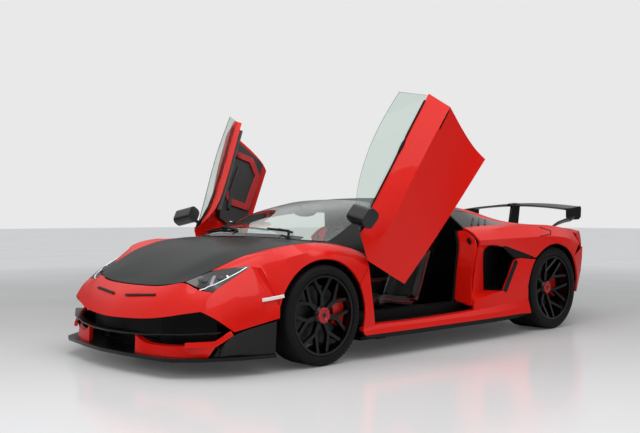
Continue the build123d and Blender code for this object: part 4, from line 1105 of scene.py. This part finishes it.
class SUPERCAR_OT_seats(bpy.types.Operator):
    """Bucket seats: black shell, swelled leather pads and red piping"""
    bl_idname = "supercar.seats"
    bl_label = "Seats"

    def execute(self, context):
        for side, word in SIDES:
            middle = side * SEAT_MIDDLE
            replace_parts(self.shell(word, middle), "seat_" + word)
            self.plinth(word, middle)
            for name, (start, end, half, crown, bolster, rows, columns) in PADS.items():
                def height(s, u, crown=crown, bolster=bolster):
                    ends = (1 - abs(2 * u - 1) ** 6) ** 0.5
                    sides = (1 - abs(s) ** 8) ** 0.5
                    wing = bolster * math.exp(-((abs(s) - 0.80) / 0.16) ** 2)
                    return (crown * (0.75 + 0.25 * math.cos(s * 1.5)) + wing) * ends * sides

                bm = seat_grid(start, end, half, rows, columns, height)
                bmesh.ops.translate(bm, verts=bm.verts, vec=(0, middle, 0))
                item = from_bmesh(f"{name}_pad_{word}", bm, ("leather_black",), 80.0)
                swell(item)
                if name != "headrest":
                    stitch(item, middle)
                subdivided(item, 1)
                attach(item, "chassis")
                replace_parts(item, "seat_" + word)
                self.piping(f"{name}_{word}", start, end, half, middle)
        return {"FINISHED"}

    def shell(self, word, middle):
        bm = seat_grid(0.0, 1.0, 0.222, 40, 20, lambda s, u: SHEET)
        bmesh.ops.translate(bm, verts=bm.verts, vec=(0, middle, 0))
        return piece("seat_shell_" + word, bm, "black_gloss", sharp=50.0)

    def plinth(self, word, middle):
        """Runner box that carries the shell on the floor."""
        bm = bmesh.new()
        bmesh.ops.create_cube(bm, size=1.0)
        for vertex in bm.verts:
            wide = 0.15 if vertex.co.z > 0 else 0.17
            vertex.co = Vector((0.17 + vertex.co.x * 0.42, middle + vertex.co.y * 2 * wide,
                                0.150 + (vertex.co.z + 0.5) * 0.092))
        piece("seat_plinth_" + word, bm, "black_trim", edge=0.008)

    def piping(self, name, start, end, half, middle):
        """Red welt round a pad's border."""
        stations = [start + (end - start) * k / 20 for k in range(21)]
        places = []
        for s, line in ((PIPING_EDGE, stations), (-PIPING_EDGE, stations[::-1])):
            for u in line:
                place, normal = seat_frame(u)
                places.append(place + Vector((0, middle + s * half, 0))
                              + normal * PIPING_LIFT)
        tube("piping_" + name, places, 0.004, "leather_red", closed=True, sides=8)


def cabin_mirror():
    """Rear-view mirror on its stalk behind the top of the windscreen."""
    root, normal = snap("windscreen", (0.760, 0.0, 1.06))
    head = root - normal * 0.055 + Vector((-0.035, 0, 0))
    tube("mirror_stalk", along([root - normal * 0.004, head], 3), 0.008, "black_trim")
    turns = [2 * math.pi * (k + 0.5) / 20 for k in range(20)]
    loops = []
    for depth, size in ((-0.014, 0.86), (-0.006, 1.0), (0.008, 1.0), (0.014, 0.9)):
        loops.append([head + Vector((depth - 0.012, 0.125 * size * math.cos(turn),
                                     0.034 * size * math.sin(turn))) for turn in turns])
    piece("cabin_mirror", lofted(loops), "black_gloss", sharp=40.0)


class SUPERCAR_OT_cabin(bpy.types.Operator):
    """Cabin: sills, tunnel, dashboard, steering wheel and mirror"""
    bl_idname = "supercar.cabin"
    bl_label = "Cabin"

    def execute(self, context):
        for node in ("front_bulkhead", "sills"):
            dress(node, "black_trim")
        for node in ("centre_tunnel", "dashboard", "steering_wheel"):
            dress(node, "leather_black")
        for side, word in SIDES:
            welt = on_side([(0.760, 0.190, 0.52), (-0.100, 0.190, 0.50)], side)
            laid("tunnel_piping_" + word, "centre_tunnel", welt, 0.012, 0.008, "leather_red")
        cabin_mirror()
        return {"FINISHED"}


CAMERA_PLACE = (5.1129, 4.9244, 0.9732)
CAMERA_TURN = 137.12      # degrees about the vertical
SOFTBOXES = (  # name, place, target, size, watts, shown in reflections
    ("overhead", (1.0, 1.2, 4.6), (0, 0, 0), (7.0, 5.0), 205, True),
    ("side", (1.5, 6.5, 2.6), (0.2, 0, 0.5), (5.0, 2.2), 42, False),
    ("front", (6.5, 1.0, 2.4), (1.5, 0, 0.5), (3.5, 2.0), 50, False),
)


def light_path(tree):
    """The ray's kind, and 1 where the camera sees it straight or through glass."""
    path = add_node(tree, "ShaderNodeLightPath")
    seen = combine(tree, "MAXIMUM", path.outputs["Is Camera Ray"],
                   path.outputs["Is Transmission Ray"])
    return path, seen


class SUPERCAR_OT_stage(bpy.types.Operator):
    """Pale floor, soft lamps and the camera"""
    bl_idname = "supercar.stage"
    bl_label = "Stage"

    def execute(self, context):
        scene = context.scene
        scene.view_settings.view_transform = "Standard"
        self.floor(scene.car_colours.floor)
        self.sky(scene)
        for row in SOFTBOXES:
            self.softbox(*row)
        camera = bpy.data.cameras.new("view")
        camera.lens = scene.car_sizes.camera_lens
        camera.sensor_width = 36.0
        camera.sensor_fit = "HORIZONTAL"
        item = bpy.data.objects.new("view", camera)
        item.location = CAMERA_PLACE
        item.rotation_euler = (math.pi / 2, 0, math.radians(CAMERA_TURN))
        scene.collection.objects.link(item)
        scene.camera = item
        return {"FINISHED"}

    def floor(self, code):
        """Polished floor that glows more the further it is from the car."""
        bm = bmesh.new()
        bmesh.ops.create_grid(bm, x_segments=2, y_segments=2, size=60.0)
        material, tree = new_material("polished_studio_floor")
        rough = map_range(tree, object_noise(tree, 0.8, 3.0), 0.12, 0.2)
        away = add_node(tree, "ShaderNodeVectorMath", {0: object_place(tree)},
                        operation="LENGTH")
        far = map_range(tree, away.outputs["Value"], 0.04, 0.45, 2.0, 11.0)
        glow = combine(tree, "MULTIPLY", light_path(tree)[1], far)
        M["floor"] = finished(material, {"Base Color": linear(code), "Roughness": rough,
                                         "Emission Color": linear(code),
                                         "Emission Strength": glow})
        mesh = bpy.data.meshes.new("studio_floor")
        bm.to_mesh(mesh)
        bm.free()
        link("studio_floor", mesh, ("floor",))

    def sky(self, scene):
        """Even backdrop to the eye; reflections see a ceiling brighter than its sides."""
        world = bpy.data.worlds.new("studio")
        world.use_nodes = True
        tree = world.node_tree
        tree.nodes.clear()
        path, seen = light_path(tree)
        place = add_node(tree, "ShaderNodeTexCoord")
        parts = add_node(tree, "ShaderNodeSeparateXYZ", {0: place.outputs["Generated"]})
        ceiling = map_range(tree, parts.outputs["Z"], 0.16, 0.95, 0.08, 0.48,
                            interpolation_type="SMOOTHSTEP")
        mirrored = map_range(tree, path.outputs["Is Glossy Ray"], 0.33, ceiling)
        strength = map_range(tree, seen, mirrored, 0.90)
        back = add_node(tree, "ShaderNodeBackground",
                        {"Color": linear("#F4F4F5"), "Strength": strength})
        add_node(tree, "ShaderNodeOutputWorld", {"Surface": back.outputs[0]})
        scene.world = world

    def softbox(self, name, place, target, size, power, shown):
        lamp = bpy.data.lights.new(name, "AREA")
        lamp.shape = "RECTANGLE"
        lamp.size, lamp.size_y = size
        lamp.energy = power
        item = bpy.data.objects.new(name, lamp)
        item.location = place
        aim = Vector(target) - Vector(place)
        item.rotation_euler = aim.to_track_quat("-Z", "Y").to_euler()
        item.visible_glossy = shown
        bpy.context.scene.collection.objects.link(item)


OPERATORS = (SUPERCAR_OT_stage, SUPERCAR_OT_body, SUPERCAR_OT_wing, SUPERCAR_OT_bumper,
             SUPERCAR_OT_doors, SUPERCAR_OT_glazing, SUPERCAR_OT_lamps, SUPERCAR_OT_wheels,
             SUPERCAR_OT_running_gear, SUPERCAR_OT_louvres, SUPERCAR_OT_seats,
             SUPERCAR_OT_cabin)


class SUPERCAR_PT_panel(bpy.types.Panel):
    """Sidebar panel with the car's pieces and colours"""
    bl_idname = "SUPERCAR_PT_panel"
    bl_label = "Supercar"
    bl_space_type = "VIEW_3D"
    bl_region_type = "UI"
    bl_category = "Supercar"

    def draw(self, context):
        for group in (context.scene.car_colours, context.scene.car_sizes):
            for name in group.__annotations__:
                self.layout.prop(group, name)
        for operator in OPERATORS:
            self.layout.operator(operator.bl_idname)


CLASSES = (CarColours, CarSizes) + OPERATORS + (SUPERCAR_PT_panel,)


def register():
    for item in CLASSES:
        bpy.utils.register_class(item)
    bpy.types.Scene.car_colours = bpy.props.PointerProperty(type=CarColours)
    bpy.types.Scene.car_sizes = bpy.props.PointerProperty(type=CarSizes)


def unregister():
    del bpy.types.Scene.car_colours
    del bpy.types.Scene.car_sizes
    for item in reversed(CLASSES):
        bpy.utils.unregister_class(item)


def main():
    register()
    make_materials()
    for operator in OPERATORS:
        group, name = operator.bl_idname.split(".")
        getattr(getattr(bpy.ops, group), name)()


if __name__ == "__main__":
    main()
